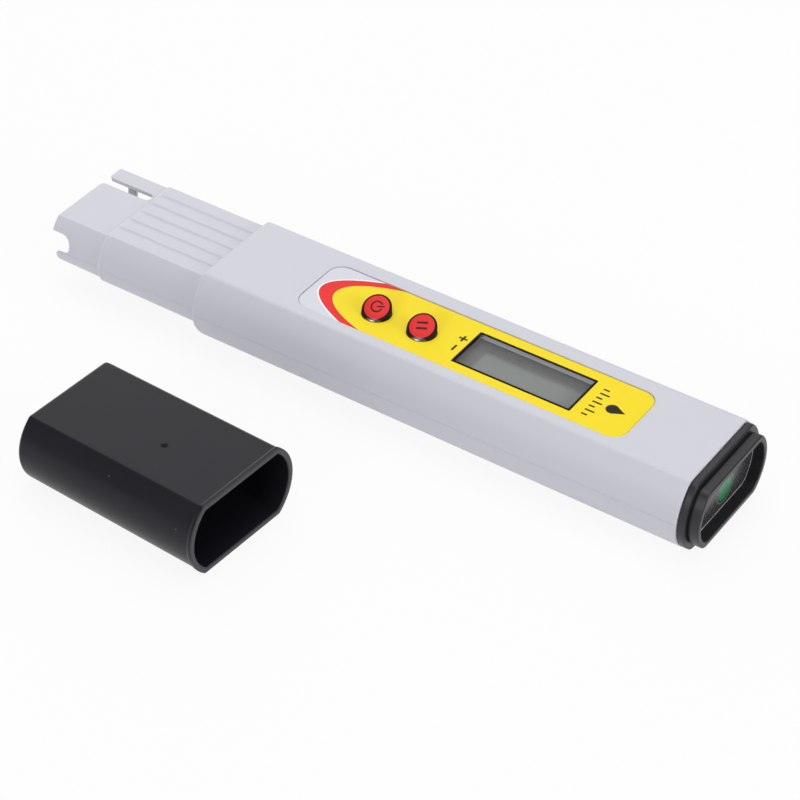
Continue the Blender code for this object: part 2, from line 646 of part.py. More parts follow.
def make_electrode(plastic, glass, platinum, ceramic, rubber, insulation):
    """The sensing electrode in the nose, its bulkhead seal and its two leads."""
    rear = ELECTRODE_FRONT + ELECTRODE_LENGTH
    tube = [(along(ELECTRODE_FRONT), ELECTRODE_RADIUS), (along(rear), ELECTRODE_RADIUS)]
    as_object("electrode_tube", lying(tube), plastic, smooth=True)
    stem_rear = ELECTRODE_FRONT - SEAT
    stem_front = stem_rear - STEM_LENGTH
    stem = [(along(stem_front + STEM_RADIUS * back), STEM_RADIUS * across) for back, across in STEM_TIP]
    stem.append((along(stem_rear), STEM_RADIUS))
    as_object("glass_stem", lying(stem), glass, smooth=True)
    pin = [(along(stem_front - SEAT - PIN_LENGTH), PIN_RADIUS), (along(stem_front - SEAT), PIN_RADIUS)]
    as_object("platinum_pin", lying(pin, sides=PIN_SIDES), platinum, smooth=True)
    ring = [(along(stem_rear - JUNCTION_LENGTH), ELECTRODE_RADIUS), (along(stem_rear), ELECTRODE_RADIUS)]
    junction = as_object("reference_junction", lying(ring), ceramic, smooth=True)
    hole = STEM_RADIUS + SEAT
    through = [(along(stem_rear - JUNCTION_LENGTH - PAST), hole), (along(stem_rear + PAST), hole)]
    cut(junction, "junction_hole", lying(through))
    outside = NOSE_CAVITY_INSET + SEAT
    low = along(BULKHEAD_START)
    high = along(BULKHEAD_START + BULKHEAD_LENGTH)
    bulkhead = as_object("electrode_seal", loft([(low, outside), (high, outside)]), rubber, smooth=True)
    hole = ELECTRODE_RADIUS + SEAT
    cut(bulkhead, "seal_bore", lying([(low - PAST, hole), (high + PAST, hole)]))
    start = Vector((along(rear + SEAT), LEAD_SPREAD, MIDDLE_HEIGHT))
    end_height = BOARD_BOTTOM + BOARD_THICKNESS / 2
    end = Vector((along(BOARD_FRONT - SEAT), 2 * LEAD_SPREAD, end_height))
    for name, side in (("sensor_lead_1", -1), ("sensor_lead_2", 1)):
        make_lead(name, start * Vector((1, side, 1)), end * Vector((1, side, 1)), insulation)


def make_lead(name, start, end, material):
    """A short insulated wire that leaves both ends straight along X and sags between them."""
    data = bpy.data.curves.new(name, "CURVE")
    data.dimensions = "3D"
    data.bevel_depth = LEAD_RADIUS
    data.bevel_resolution = 2
    data.use_fill_caps = True
    data.materials.append(material)
    line = data.splines.new("POLY")
    line.points.add(LEAD_POINTS - 1)
    for i, point in enumerate(line.points):
        share = i / (LEAD_POINTS - 1)
        eased = share * share * (3 - 2 * share)
        place = Vector((start.x + (end.x - start.x) * share, 0, 0))
        place.y = start.y + (end.y - start.y) * eased
        sag = LEAD_SPREAD * math.sin(math.pi * share) ** 2
        place.z = start.z + (end.z - start.z) * eased - sag
        point.co = (*place, 1.0)
    made = bpy.data.objects.new(name, data)
    bpy.context.scene.collection.objects.link(made)


def make_protective_cap(material):
    """The cap in its own frame, x from its closed end to its mouth, on an empty where it lies."""
    stations = []
    for step in range(CAP_EDGE_STEPS + 1):
        angle = math.pi / 2 * step / CAP_EDGE_STEPS
        stations.append((CAP_EDGE * (1 - math.cos(angle)), CAP_EDGE * (1 - math.sin(angle))))
    stations.append((CAP_LENGTH, 0.0))
    cap = as_object("protective_cap", loft(stations), material, smooth=True)
    inside = NOSE_INSET - CAP_FIT
    cavity = as_object("cap_cavity", loft([(CAP_END_WALL, inside), (CAP_LENGTH + PAST, inside)]))
    use(cap, cavity, "DIFFERENCE")
    place = bpy.data.objects.new("cap_place", None)
    bpy.context.scene.collection.objects.link(place)
    place.location = CAP_PLACE
    place.rotation_euler = (0, 0, CAP_YAW)
    cap.parent = place
    cavity.parent = place


def main():
    for made in list(bpy.data.objects):
        bpy.data.objects.remove(made)
    shell = finish("shell_plastic", (0.65, 0.65, 0.72), 0.45)
    black = finish("black_plastic", (0.03, 0.03, 0.033), 0.45)
    charcoal = finish("cap_plastic", (0.035, 0.034, 0.038), 0.5)
    label = finish("label_print", (0.95, 0.74, 0.02), 0.35)
    dark_label = finish("dark_label", (0.12, 0.12, 0.12), 0.5)
    red = finish("red_button", (0.8, 0.03, 0.03), 0.3)
    window = finish("clear_window", (0.85, 0.88, 0.86), 0.05)
    lcd = finish("lcd_panel", (0.27, 0.30, 0.28), 0.15)
    rubber = finish("seal_rubber", (0.02, 0.02, 0.02), 0.7)
    board = finish("board_laminate", (0.02, 0.16, 0.06), 0.45)
    epoxy = finish("black_epoxy", (0.015, 0.015, 0.015), 0.25)
    nylon = finish("white_nylon", (0.8, 0.8, 0.76), 0.5)
    steel = finish("steel", (0.62, 0.61, 0.58), 0.25, 1.0)
    brass = finish("contact_brass", (0.72, 0.55, 0.25), 0.3, 1.0)
    platinum = finish("platinum", (0.72, 0.71, 0.68), 0.15, 1.0)
    glass = finish("electrode_glass", (0.85, 0.9, 0.92), 0.05)
    ceramic = finish("junction_plug", (0.85, 0.83, 0.78), 0.8)
    wire = finish("wire_insulation", (0.6, 0.05, 0.04), 0.5)
    make_front_shell(shell)
    make_rear_shell(shell)
    make_front_label(label)
    make_display(window, lcd, rubber)
    make_board(board, epoxy, steel)
    for name, place in button_places().items():
        make_button(name, place, red, black, nylon)
    make_batteries(black, steel, brass)
    make_end_cap(black, rubber, dark_label, brass)
    make_electrode(black, glass, platinum, ceramic, rubber, wire)
    make_protective_cap(charcoal)


main()
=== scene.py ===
"""Looks of a pen-type water tester and its protective cap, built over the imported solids.

Metres, +Z up. The pen lies on its flat back with the display up and the nose towards -X.
Places along the pen are counted from the tip of the nose and turned into world places by along().
"""

import json
import math

import bmesh
import bpy
from mathutils import Matrix, Vector


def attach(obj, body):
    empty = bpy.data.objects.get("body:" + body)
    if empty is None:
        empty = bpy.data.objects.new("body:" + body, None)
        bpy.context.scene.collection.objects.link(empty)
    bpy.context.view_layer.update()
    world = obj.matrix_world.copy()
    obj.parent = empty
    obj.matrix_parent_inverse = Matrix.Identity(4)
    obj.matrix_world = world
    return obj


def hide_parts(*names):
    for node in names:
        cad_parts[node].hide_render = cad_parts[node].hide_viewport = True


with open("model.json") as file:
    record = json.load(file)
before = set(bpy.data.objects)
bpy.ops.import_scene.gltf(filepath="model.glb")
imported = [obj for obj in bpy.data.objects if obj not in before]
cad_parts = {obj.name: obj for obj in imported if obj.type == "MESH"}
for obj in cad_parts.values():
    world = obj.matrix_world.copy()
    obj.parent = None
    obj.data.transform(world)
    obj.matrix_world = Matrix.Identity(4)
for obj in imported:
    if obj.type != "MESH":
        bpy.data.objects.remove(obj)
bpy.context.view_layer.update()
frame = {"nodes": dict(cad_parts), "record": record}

MM = 0.001
QUARTER = math.pi / 2

# Cross-section of the pen and of its cap: flat top and bottom, and sides that are arcs
BODY_WIDTH = 30.4 * MM
BODY_HEIGHT = 17.0 * MM
TOP_FLAT_WIDTH = 21.9 * MM
MIDDLE_HEIGHT = BODY_HEIGHT / 2
BULGE = (BODY_WIDTH - TOP_FLAT_WIDTH) / 2
SIDE_RADIUS = (MIDDLE_HEIGHT**2 + BULGE**2) / (2 * BULGE)
SIDE_CENTRE = BODY_WIDTH / 2 - SIDE_RADIUS
SIDE_STEPS = 9
CREASE_STEPS = 4
LEAST_CREASE = 0.1 * MM

# Casing along the pen
TIP_LENGTH = 12.2 * MM
NOSE_END = 37.0 * MM
BODY_START = 38.0 * MM
BODY_END = 149.0 * MM
PEN_LENGTH = 153.0 * MM
TIP_INSET = 1.6 * MM
TIP_START = -0.3 * MM
TIP_EDGE = 0.3 * MM
TIP_LEAN = 1.3 * MM
TIP_STEP = 0.5 * MM
NOSE_INSET = 1.25 * MM
BODY_WALL = 1.8 * MM
TIP_WALL = 0.85 * MM
NOSE_WALL = 1.5 * MM
CASING_CREASE = 1.4 * MM
PARTING_HEIGHT = 9.0 * MM
PARTING_GAP = 0.03 * MM
EDGE = 0.22 * MM
CASING_EDGE = 0.05 * MM
EDGE_STEPS = 4
SOFT_STEPS = 5

# Bend of the shoulder: shares of its length, and of the nose's inset that is left there
SHOULDER_BEND = (
    (0.0, 1.0),
    (0.1, 0.92),
    (0.2, 0.7),
    (0.3, 0.44),
    (0.42, 0.25),
    (0.6, 0.1),
    (0.8, 0.025),
    (1.0, 0.0),
)

# Painted highlights along the edges of the step and of the shoulder: middle, half width and softness
STEP_HIGHLIGHT = (TIP_LENGTH + 0.8 * TIP_STEP, 0.2 * MM, 0.12 * MM)
SHOULDER_HIGHLIGHT = (NOSE_END + 0.45 * MM, 0.3 * MM, 0.15 * MM)

# Grip grooves and the water ways of the tip
GROOVE_COUNT = 5
GROOVE_SPACING = 3.5 * MM
GROOVE_START = 12.55 * MM
GROOVE_END = 36.85 * MM
GROOVE_WIDTH = 0.9 * MM
GROOVE_DEPTH = 0.27 * MM
GROOVE_RUN = 1.0 * MM
GROOVE_RISE = 1.4 * GROOVE_DEPTH
GROOVE_STEPS = 90
GROOVE_SIDES = 40
SLOT_LENGTH = 11.8 * MM
SLOT_CORNER = 0.7 * MM
SLOT_WIDTH = 2.4 * MM
SLOT_OFFSET = 5.4 * MM
NOTCH_LENGTH = 4.6 * MM
NOTCH_HEIGHT = 4.4 * MM
NOTCH_RISE = 2.1 * MM
PORT_START = 1.7 * MM
PORT_LENGTH = 6.4 * MM
PORT_HEIGHT = 5.2 * MM
PORT_RISE = -0.7 * MM
ROUND_END_STEPS = 12
TIP_SIDE_DEPTH = BODY_WIDTH / 2 - SLOT_OFFSET - SLOT_WIDTH

# How far the underside is lifted and its sides come in, at places along the pen
UNDERSIDE = (
    (0.0, 3.9 * MM, 4.9 * MM),
    (TIP_LENGTH, 2.6 * MM, 4.8 * MM),
    (TIP_LENGTH + TIP_STEP, 2.6 * MM, 3.1 * MM),
    (NOSE_END, 2.1 * MM, 2.6 * MM),
    (BODY_START, 0.0, 2.3 * MM),
    (BODY_END, 0.0, 0.95 * MM),
)

# Face: label, buttons and display
FACE_OFFSET = -0.5 * MM
LABEL_START = 57.4 * MM
LABEL_END = 132.5 * MM
LABEL_WIDTH = 16.2 * MM
LABEL_CORNER = 3.4 * MM
LABEL_SINK = 0.4 * MM
LABEL_THICKNESS = 0.17 * MM
LABEL_FILM_TOP = BODY_HEIGHT - 0.2 * MM
LABEL_GAP = 0.15 * MM
LABEL_EDGE = 0.05 * MM
CORNER_STEPS = 10
POWER_PLACE = 73.16 * MM
HOLD_PLACE = 83.8 * MM
BUTTON_OFFSET = -1.76 * MM
BUTTON_RADIUS = 3.03 * MM
BUTTON_HOLE = 3.09 * MM
BUTTON_TILT = math.radians(22.5)
BUTTON_NEAR = (0.25, -0.97)
BUTTON_DOME = 0.14 * MM
BUTTON_BEZEL = 17.08 * MM
BEZEL_ROUND = 0.46 * MM
BEZEL_GROOVE = 0.05 * MM
BEZEL_STEPS = 6
DOME_STEPS = 12
BUTTON_SHELF = 14.9 * MM
BUTTON_BOTTOM = 14.1 * MM
BUTTON_FLANGE = 1.0 * MM
DISPLAY_START = 93.25 * MM
DISPLAY_END = 120.0 * MM
DISPLAY_WIDTH = 11.1 * MM
DISPLAY_OVERHANG = 1.3 * MM
DISPLAY_CORNER_STEPS = 2
FRAME_LINE = 0.44 * MM
FRAME_THICKNESS = 0.16 * MM
FRAME_RISE = 0.05 * MM
FRAME_GAP = 0.06 * MM
FRAME_CORNER = 0.1 * MM
FRAME_CORNER_STEPS = 4
FRAME_EDGE = 0.03 * MM
ROUND_STEPS = 56

# Print on the label: an arch (apex, bend, stiffness) with dark rims and a pale line outside it
PRINT_SOFT = 0.05 * MM
ARCH_OFFSET = -0.6 * MM
OUTER_ARCH = (59.2 * MM, 0.157 / MM, 0.0)
INNER_ARCH = (62.55 * MM, 0.14 / MM, 0.0006 / MM**3)
OUTER_RIM = 0.09 * MM
INNER_RIM = 0.1 * MM
ARCH_LINE = 0.36 * MM

# Marks on the label: a plus and a minus, a row of ticks and a drop
PLUS_PLACE = 91.6 * MM
PLUS_OFFSET = 1.7 * MM
PLUS_ARM = 0.95 * MM
PLUS_HALF = 0.24 * MM
MARKS_OFFSET = -0.35 * MM
TICK_PLACE = 122.1 * MM
TICK_PITCH = 0.72 * MM
TICK_HALF = (0.18 * MM, 0.27 * MM)
TICK_REACH = 1.3 * MM
TICK_EXTRA = 0.8 * MM
TICK_SPAN = 6.3 * TICK_PITCH
DROP_PLACE = 126.5 * MM
DROP_RADIUS = 1.35 * MM
DROP_SHOULDER = 0.6 * MM
DROP_HALF = 1.15 * MM
DROP_TAPER = 0.52

# Marks on the keys: a ring with a gap and a stroke, and two bars
MARK_TURN = math.radians(24)
MARK_SOFT = 0.06 * MM
RING_RADIUS = 1.1 * MM
RING_HALF = 0.18 * MM
RING_GAP = 0.44 * MM
STROKE_HALF = 0.16 * MM
STROKE_REACH = 0.8 * MM
BAR_OFFSET = 0.6 * MM
BAR_HALF = 0.24 * MM
BAR_REACH = 1.1 * MM

# Two tones of the keys' dark plastic, also used as painted shade on the near side of their walls, and the
# way to the glint at the near edge of their rims
KEY_DARK = ((0.014, 0.007, 0.006, 1), (0.024, 0.012, 0.01, 1))
GLINT_WAY = (0.3, -0.95)

# Where the display panel's dark edges, partly its own mask and partly painted shade of the opening's walls,
# fade: past the opening's front, before its end, past its middle
LCD_SHADE_FRONT = (2.7 * MM, 4.0 * MM)
LCD_SHADE_REAR = (6.0 * MM, 1.2 * MM)
LCD_SHADE_FAR = (1.0 * MM, 3.1 * MM)

# Board posts inside the casing
POST_FRONT = 61.6 * MM
POST_REAR = 124.1 * MM
POST_OFFSET = 8.2 * MM
POST_RADIUS = 2.1 * MM
POST_FOOT = 10.1 * MM
POST_SIDES = 20

# Seal that holds the electrode in the nose
BULKHEAD_START = 28.0 * MM
BULKHEAD_LENGTH = 6.0 * MM
BULKHEAD_GAP = 0.1 * MM
ELECTRODE_RADIUS = 4.2 * MM

# Battery lid
LID_PLUG_START = 144.6 * MM
LID_PLUG_INSET = 2.1 * MM
LID_GROOVE_START = 146.2 * MM
LID_GROOVE_END = 147.4 * MM
LID_GROOVE_INSET = 3.0 * MM
LID_FLANGE_START = 149.1 * MM
LID_FLANGE_END = 150.6 * MM
LID_FLANGE_INSET = 0.3 * MM
LID_NECK_INSET = 1.95 * MM
LID_COLLAR_START = 150.8 * MM
LID_COLLAR_INSET = 1.55 * MM
LID_COLLAR_WALL = 1.2 * MM
LID_RECESS = 2.7 * MM
LID_EDGE = 0.3 * MM
LID_CREASE = 2.4 * MM
LID_DRAW = 0.5 * MM
FILM_MARGIN = 0.34 * MM
FILM_THICKNESS = 0.04 * MM
FILM_MARK = (1.5 * MM, 7.2 * MM)
FILM_RING = 3.1 * MM
FILM_RING_HALF = 0.16 * MM
FILM_DISC = 2.5 * MM
FILM_SOFT = 0.06 * MM
DISC_SOFT = 0.1 * MM
BACKING_THICKNESS = 0.22 * MM
BACKING_GAP = 0.02 * MM
BACKING_MARGIN = 0.03 * MM

# Coin cells of the battery
CELL_FRONT = 132.9 * MM
CELL_RADIUS = 5.8 * MM
CELL_THICKNESS = 5.4 * MM
CELL_STEP = 5.5 * MM
CELL_PITCH = 12.4 * MM
CELL_RIM = 0.35 * MM
CELL_MIDDLE = 2.0 * MM
CELL_SIDES = 40

# Raised lid of a cell (radius, depth) and the rolled rim of its can (inset, depth)
CELL_LID = ((3.6 * MM, -0.12 * MM), (4.3 * MM, 0.0), (4.7 * MM, 0.35 * MM))
CELL_ROLL = ((0.6 * MM, 0.35 * MM), (0.5 * MM, 0.1 * MM), (0.15 * MM, 0.14 * MM))

# Protective cap where it lies
CAP_LENGTH = 43.2 * MM
CAP_START = -0.6 * MM
CAP_END_WALL = 1.3 * MM
CAP_END_INSET = 0.85 * MM
CAP_MOUTH_INSET = 0.58 * MM
CAP_END_INSIDE = 2.0 * MM
CAP_MOUTH_INSIDE = 1.55 * MM
CAP_EDGE = 1.0 * MM
CAP_LIP = 0.22 * MM
CAP_LIP_LENGTH = 1.3 * MM
CAP_RIM = 0.2 * MM
CAP_CREASE = 0.7 * MM
CAP_PLACE = (-39.2 * MM, -54.0 * MM, 0.0)
CAP_YAW = math.radians(-3.9)
GATE_PLACE = (25.7 * MM, -1.7 * MM)
GATE_RADIUS = 0.75 * MM
GATE_DEPTH = 0.14 * MM
GATE_LEAST = 0.1
GATE_STEPS = 5
GATE_SIDES = 24

# Cutters reach this far past what they cut
PAST = 2.0 * MM

# Edges: which are kept sharp in the shading, which are rounded, and which points are one
SHARP_ANGLE = math.radians(32)
BEVEL_ANGLE = math.radians(40)
BEVEL_SEGMENTS = 2
MERGE_DISTANCE = 0.001 * MM

# Studio: floor, surround, camera and lights (name, place, width, power)
FLOOR_HALF = 3.0
FLOOR_HEIGHT = -0.02 * MM
FLOOR_WHITE = 0.9
SURROUND = 0.25
LENS = 126.94
SENSOR_WIDTH = 36.0
CAMERA_PLACE = (0.23819, -0.37466, 0.35427)
CAMERA_TURN = (51.0165, -1.4726, 33.4563)
LIGHTS = (
    ("overhead_light", (0.0, 0.1, 1.3), 1.2, 6.9),
    ("back_light", (-0.53, 0.65, 0.71), 1.2, 3.3),
    ("side_light", (-0.05, -0.9, 0.45), 0.4, 2.6),
    ("end_light", (1.0, 0.05, 0.35), 0.6, 4.0),
    ("rim_light", (-0.75, 0.85, 0.2), 0.6, 1.4),
)


def along(distance):
    """World x of a place counted from the tip of the nose."""
    return distance - PEN_LENGTH / 2


def ways(turn):
    """Directions ahead and aside, seen from above, after a turn."""
    return (math.cos(turn), math.sin(turn)), (-math.sin(turn), math.cos(turn))


def away(first, second):
    """Distance of a point from a middle, from its two offsets."""
    return (first * first + second * second) ** 0.5


class Signal:
    """One socket of a node tree. Arithmetic on it adds Math nodes to the tree."""

    def __init__(self, tree, socket):
        self.tree = tree
        self.socket = socket

    def __add__(self, other):
        return self.tree.math("ADD", self, other)

    def __radd__(self, other):
        return self.tree.math("ADD", other, self)

    def __sub__(self, other):
        return self.tree.math("SUBTRACT", self, other)

    def __rsub__(self, other):
        return self.tree.math("SUBTRACT", other, self)

    def __mul__(self, other):
        return self.tree.math("MULTIPLY", self, other)

    def __rmul__(self, other):
        return self.tree.math("MULTIPLY", other, self)

    def __truediv__(self, other):
        return self.tree.math("DIVIDE", self, other)

    def __pow__(self, other):
        return self.tree.math("POWER", self, other)

    def __abs__(self):
        return self.tree.math("ABSOLUTE", self)


class Tree:
    """A node tree whose nodes are made by node()."""

    def __init__(self, tree):
        self.tree = tree

    def node(self, kind, settings=None, sockets=None, output=0):
        """Makes a node: its settings first, then its sockets' values and links."""
        made = self.tree.nodes.new(kind)
        for key, value in (settings or {}).items():
            setattr(made, key, value)
        for key, value in (sockets or {}).items():
            self.feed(made.inputs[key], value)
        return Signal(self, made.outputs[output])

    def feed(self, socket, value):
        """Links a signal to a socket, or sets the socket's own value."""
        if isinstance(value, Signal):
            self.tree.links.new(value.socket, socket)
        else:
            socket.default_value = value

    def math(self, operation, *values):
        return self.node("ShaderNodeMath", {"operation": operation}, dict(enumerate(values)))

    def most(self, first, *others):
        """The largest of some values."""
        for other in others:
            first = self.math("MAXIMUM", first, other)
        return first

    def parts(self, vector):
        """The x, y and z of a vector."""
        split = self.node("ShaderNodeSeparateXYZ", {}, {"Vector": vector})
        return [Signal(self, socket) for socket in split.socket.node.outputs]

    def point(self, x, y, z):
        return self.node("ShaderNodeCombineXYZ", {}, {"X": x, "Y": y, "Z": z})


class Shape(Tree):
    """A Geometry Nodes group with named sizes, which ends in one plain mesh with its material."""

    def __init__(self, name, sizes):
        super().__init__(bpy.data.node_groups.new(name, "GeometryNodeTree"))
        face = self.tree.interface
        face.new_socket("Geometry", in_out="INPUT", socket_type="NodeSocketGeometry")
        for label, kind in sizes.items():
            face.new_socket(label, in_out="INPUT", socket_type="NodeSocket" + kind)
        face.new_socket("Material", in_out="INPUT", socket_type="NodeSocketMaterial")
        face.new_socket("Geometry", in_out="OUTPUT", socket_type="NodeSocketGeometry")
        self.inlet = self.tree.nodes.new("NodeGroupInput")
        self.outlet = self.tree.nodes.new("NodeGroupOutput")

    def size(self, label):
        return Signal(self, self.inlet.outputs[label])

    def close(self, geometry):
        whole = self.node("GeometryNodeRealizeInstances", {}, {"Geometry": geometry})
        sockets = {"Geometry": whole, "Material": self.size("Material")}
        whole = self.node("GeometryNodeSetMaterial", {}, sockets)
        self.tree.links.new(whole.socket, self.outlet.inputs["Geometry"])
        return self.tree


class Finish(Tree):
    """A material: one Principled shader fed by patterns on the object's own coordinates."""

    def __init__(self, name, **values):
        self.material = bpy.data.materials.new(name)
        self.material.use_nodes = True
        super().__init__(self.material.node_tree)
        self.shader = self.tree.nodes["Principled BSDF"]
        self.place = self.node("ShaderNodeTexCoord", output="Object")
        self.set(**values)

    def set(self, **values):
        """Values of the shader's sockets, by their names with _ for a space."""
        for name, value in values.items():
            self.feed(self.shader.inputs[name.replace("_", " ")], value)

    def toward(self, middle, way):
        """How far a point lies from a middle in a direction, seen from above."""
        x, y, _ = self.parts(self.place)
        return (x - middle[0]) * way[0] + (y - middle[1]) * way[1]

    def moved(self, scale=(1, 1, 1), turn=(0, 0, 0)):
        """The object's coordinates, turned and scaled."""
        sockets = {"Vector": self.place, "Rotation": turn, "Scale": scale}
        return self.node("ShaderNodeMapping", {}, sockets)

    def noise(self, scale, detail=2.0, stretch=(1, 1, 1), turn=(0, 0, 0)):
        sockets = {"Vector": self.moved(stretch, turn), "Scale": scale, "Detail": detail}
        return self.node("ShaderNodeTexNoise", {}, sockets)

    def cells(self, scale, stretch=(1, 1, 1)):
        """Distance to the nearest of scattered points, 0 at each point."""
        sockets = {"Vector": self.moved(stretch), "Scale": scale}
        return self.node("ShaderNodeTexVoronoi", {}, sockets, "Distance")

    def ramp(self, value, low, high):
        """0 below low, 1 above high, and smooth between them."""
        sockets = {"Value": value, "From Min": low, "From Max": high}
        return self.node("ShaderNodeMapRange", {"interpolation_type": "SMOOTHSTEP"}, sockets)

    def within(self, value, middle, half, soft):
        """1 where a value is within half of its middle."""
        return 1 - self.ramp(abs(value - middle), half - soft, half + soft)

    def mix(self, share, first, second):
        settings = {"data_type": "RGBA"}
        return self.node("ShaderNodeMix", settings, {0: share, 6: first, 7: second}, 2)

    def bump(self, height, strength, distance):
        sockets = {"Height": height, "Strength": strength, "Distance": distance}
        self.set(Normal=self.node("ShaderNodeBump", {}, sockets))


def grey(value):
    return (value, value, value, 1.0)


def shade(colour, share):
    """A colour made lighter or darker."""
    return (*[min(1.0, part * share) for part in colour[:3]], 1.0)


# Finishes

def moulded(name, colour, roughness, grain=2600.0, relief=0.05, clouds=0.03):
    """Satin moulded plastic: fine grain, faint clouds and faint rub marks along the pen."""
    finish = Finish(name)
    cloud = finish.noise(90.0, 3.0)
    fine = finish.noise(grain, 3.0)
    rubs = finish.ramp(finish.noise(900.0, 2.0, (0.06, 1.0, 1.0)), 0.62, 0.8)
    tone = finish.mix(cloud, shade(colour, 1 - clouds), shade(colour, 1 + clouds))
    wander = 0.12 * (cloud - 0.5) + 0.1 * (fine - 0.5)
    finish.set(Base_Color=tone, Roughness=roughness + wander - 0.05 * rubs)
    finish.bump(fine + 0.3 * rubs, relief, 0.1 * MM)
    return finish


def casing_finish():
    """Pale casing, with painted highlights: lighter along the edges of its two steps."""
    colour = (0.655, 0.655, 0.725)
    finish = moulded("casing_plastic", colour, 0.42, clouds=0.012)
    finish.set(Specular_IOR_Level=0.4)
    x, _, _ = finish.parts(finish.place)
    bands = []
    for middle, half, soft in (STEP_HIGHLIGHT, SHOULDER_HIGHLIGHT):
        bands.append(finish.within(x, along(middle), half, soft))
    tone = Signal(finish, finish.shader.inputs["Base Color"].links[0].from_socket)
    # Painted highlight: a lighter copy of the casing colour along the edges of the two steps
    finish.set(Base_Color=finish.mix(finish.most(*bands), tone, shade(colour, 1.14)))
    return finish.material


def cap_finish():
    """Charcoal plastic, paler on the rim as painted light, darker in the gate mark as painted shade, with a
    few stray specks of dust and short scratches.
    """
    finish = Finish("cap_plastic", Specular_IOR_Level=0.2)
    forward, aside = [finish.toward(CAP_PLACE, way) for way in ways(CAP_YAW)]
    rim_painted_light = finish.ramp(forward, CAP_LENGTH - 0.3 * MM, CAP_LENGTH - 0.1 * MM)
    from_gate = away(forward - GATE_PLACE[0], aside - GATE_PLACE[1])
    gate = 1 - finish.ramp(from_gate, 0.5 * GATE_RADIUS, 1.1 * GATE_RADIUS)
    cloud = finish.noise(70.0, 3.0)
    fine = finish.noise(2400.0, 3.0)
    speck = 1 - finish.ramp(finish.cells(170.0), 0.02, 0.034)
    rare = finish.ramp(finish.noise(110.0, 1.0), 0.5, 0.54)
    scratch = finish.ramp(finish.noise(1500.0, 1.0, (0.2, 1.0, 1.0), (0, 0, 0.5)), 0.81, 0.84)
    mark = finish.most(speck * rare, 0.5 * scratch)
    tone = finish.mix(cloud, (0.0125, 0.0118, 0.0172, 1), (0.0155, 0.0148, 0.0205, 1))
    # Painted light: the rim at the mouth is paler
    tone = finish.mix(rim_painted_light, tone, (0.05, 0.049, 0.056, 1))
    # Painted shade: the gate mark's dimple is darker, and it is rougher too
    tone = finish.mix(gate, tone, grey(0.002))
    finish.set(Base_Color=finish.mix(mark * 0.6, tone, grey(0.5)))
    finish.set(Roughness=0.36 + 0.08 * (cloud - 0.5) + 0.1 * (fine - 0.5) + 0.2 * mark + 0.4 * gate)
    finish.bump(fine, 0.05, 0.1 * MM)
    return finish.material


def lid_finish():
    """Black plastic of the battery lid, a little coarser than the casing."""
    finish = moulded("black_plastic", (0.0215, 0.021, 0.0255), 0.4, 1800.0, 0.09, 0.12)
    finish.set(Specular_IOR_Level=0.4)
    return finish.material


def label_finish():
    """Printed film: yellow, with a red arch at the nose end and pale corners outside it."""
    finish = Finish("label_print", Specular_IOR_Level=0.16)
    x, y, _ = finish.parts(finish.place)
    aside = y - ARCH_OFFSET

    def arch(apex, bend, stiffness):
        """Distance ahead of an arch that opens towards the display."""
        square = aside * aside
        line = along(apex) + bend * square + stiffness * (square * square)
        slope = 2 * bend * aside + 4 * stiffness * (square * aside)
        return (line - x) / (1 + slope * slope) ** 0.5

    outer = arch(*OUTER_ARCH)
    inner = arch(*INNER_ARCH)
    soft = PRINT_SOFT
    fibre = finish.noise(1500.0, 3.0)
    blotch = finish.noise(150.0, 2.0)
    yellow = finish.mix(blotch, (0.98, 0.76, 0.012, 1), (0.99, 0.785, 0.018, 1))
    red = finish.mix(blotch, (0.87, 0.021, 0.023, 1), (0.9, 0.03, 0.03, 1))
    inner_rim = finish.within(inner, INNER_RIM, INNER_RIM, soft)
    outer_rim = finish.within(outer, -OUTER_RIM, OUTER_RIM, soft)
    red = finish.mix(0.6 * finish.most(inner_rim, outer_rim), red, (0.42, 0.012, 0.02, 1))
    pale = finish.mix(blotch, (0.7, 0.71, 0.78, 1), (0.75, 0.76, 0.83, 1))
    tone = finish.mix(finish.ramp(inner, -soft, soft), yellow, red)
    tone = finish.mix(finish.ramp(outer, -soft, soft), tone, grey(0.95))
    tone = finish.mix(finish.ramp(outer, ARCH_LINE - soft, ARCH_LINE + soft), tone, pale)
    ink = label_marks(finish, x, y - FACE_OFFSET)
    tone = finish.mix(ink, tone, (0.016, 0.011, 0.006, 1))
    finish.set(Base_Color=tone, Roughness=0.4 + 0.1 * (fibre - 0.5) + 0.1 * (blotch - 0.5))
    finish.bump(fibre, 0.04, 0.05 * MM)
    return finish.material


def label_marks(finish, x, y):
    """Plain printed marks beside the display: a plus and a minus, a row of ticks and a drop."""
    soft = PRINT_SOFT

    def bar(first, second, half_first, half_second):
        return finish.within(first, 0.0, half_first, soft) * finish.within(second, 0.0, half_second, soft)

    across = x - along(PLUS_PLACE)
    upper = y - PLUS_OFFSET
    lower = y + PLUS_OFFSET
    marks = [
        bar(across, upper, PLUS_ARM, PLUS_HALF),
        bar(across, upper, PLUS_HALF, PLUS_ARM),
        bar(across, lower, PLUS_HALF, PLUS_ARM),
    ]

    side = y - MARKS_OFFSET
    ahead = x - along(TICK_PLACE)
    tick = 1 - finish.ramp(finish.math("PINGPONG", side, TICK_PITCH), *TICK_HALF)
    tall = 1 - finish.ramp(finish.math("PINGPONG", side, 2 * TICK_PITCH), *TICK_HALF)
    reach = TICK_REACH + TICK_EXTRA * tall
    ticks = tick * finish.ramp(ahead, -soft, soft) * (1 - finish.ramp(ahead - reach, -soft, soft))
    marks.append(ticks * finish.within(side, 0.0, TICK_SPAN, soft))

    ahead = x - along(DROP_PLACE)
    marks.append(1 - finish.ramp(away(ahead, side), DROP_RADIUS - soft, DROP_RADIUS + soft))
    flank = abs(side) + DROP_TAPER * (ahead - DROP_SHOULDER)
    taper = 1 - finish.ramp(flank, DROP_HALF - soft, DROP_HALF + soft)
    marks.append(taper * finish.ramp(ahead, DROP_SHOULDER - 2 * soft, DROP_SHOULDER))
    return finish.most(*marks)


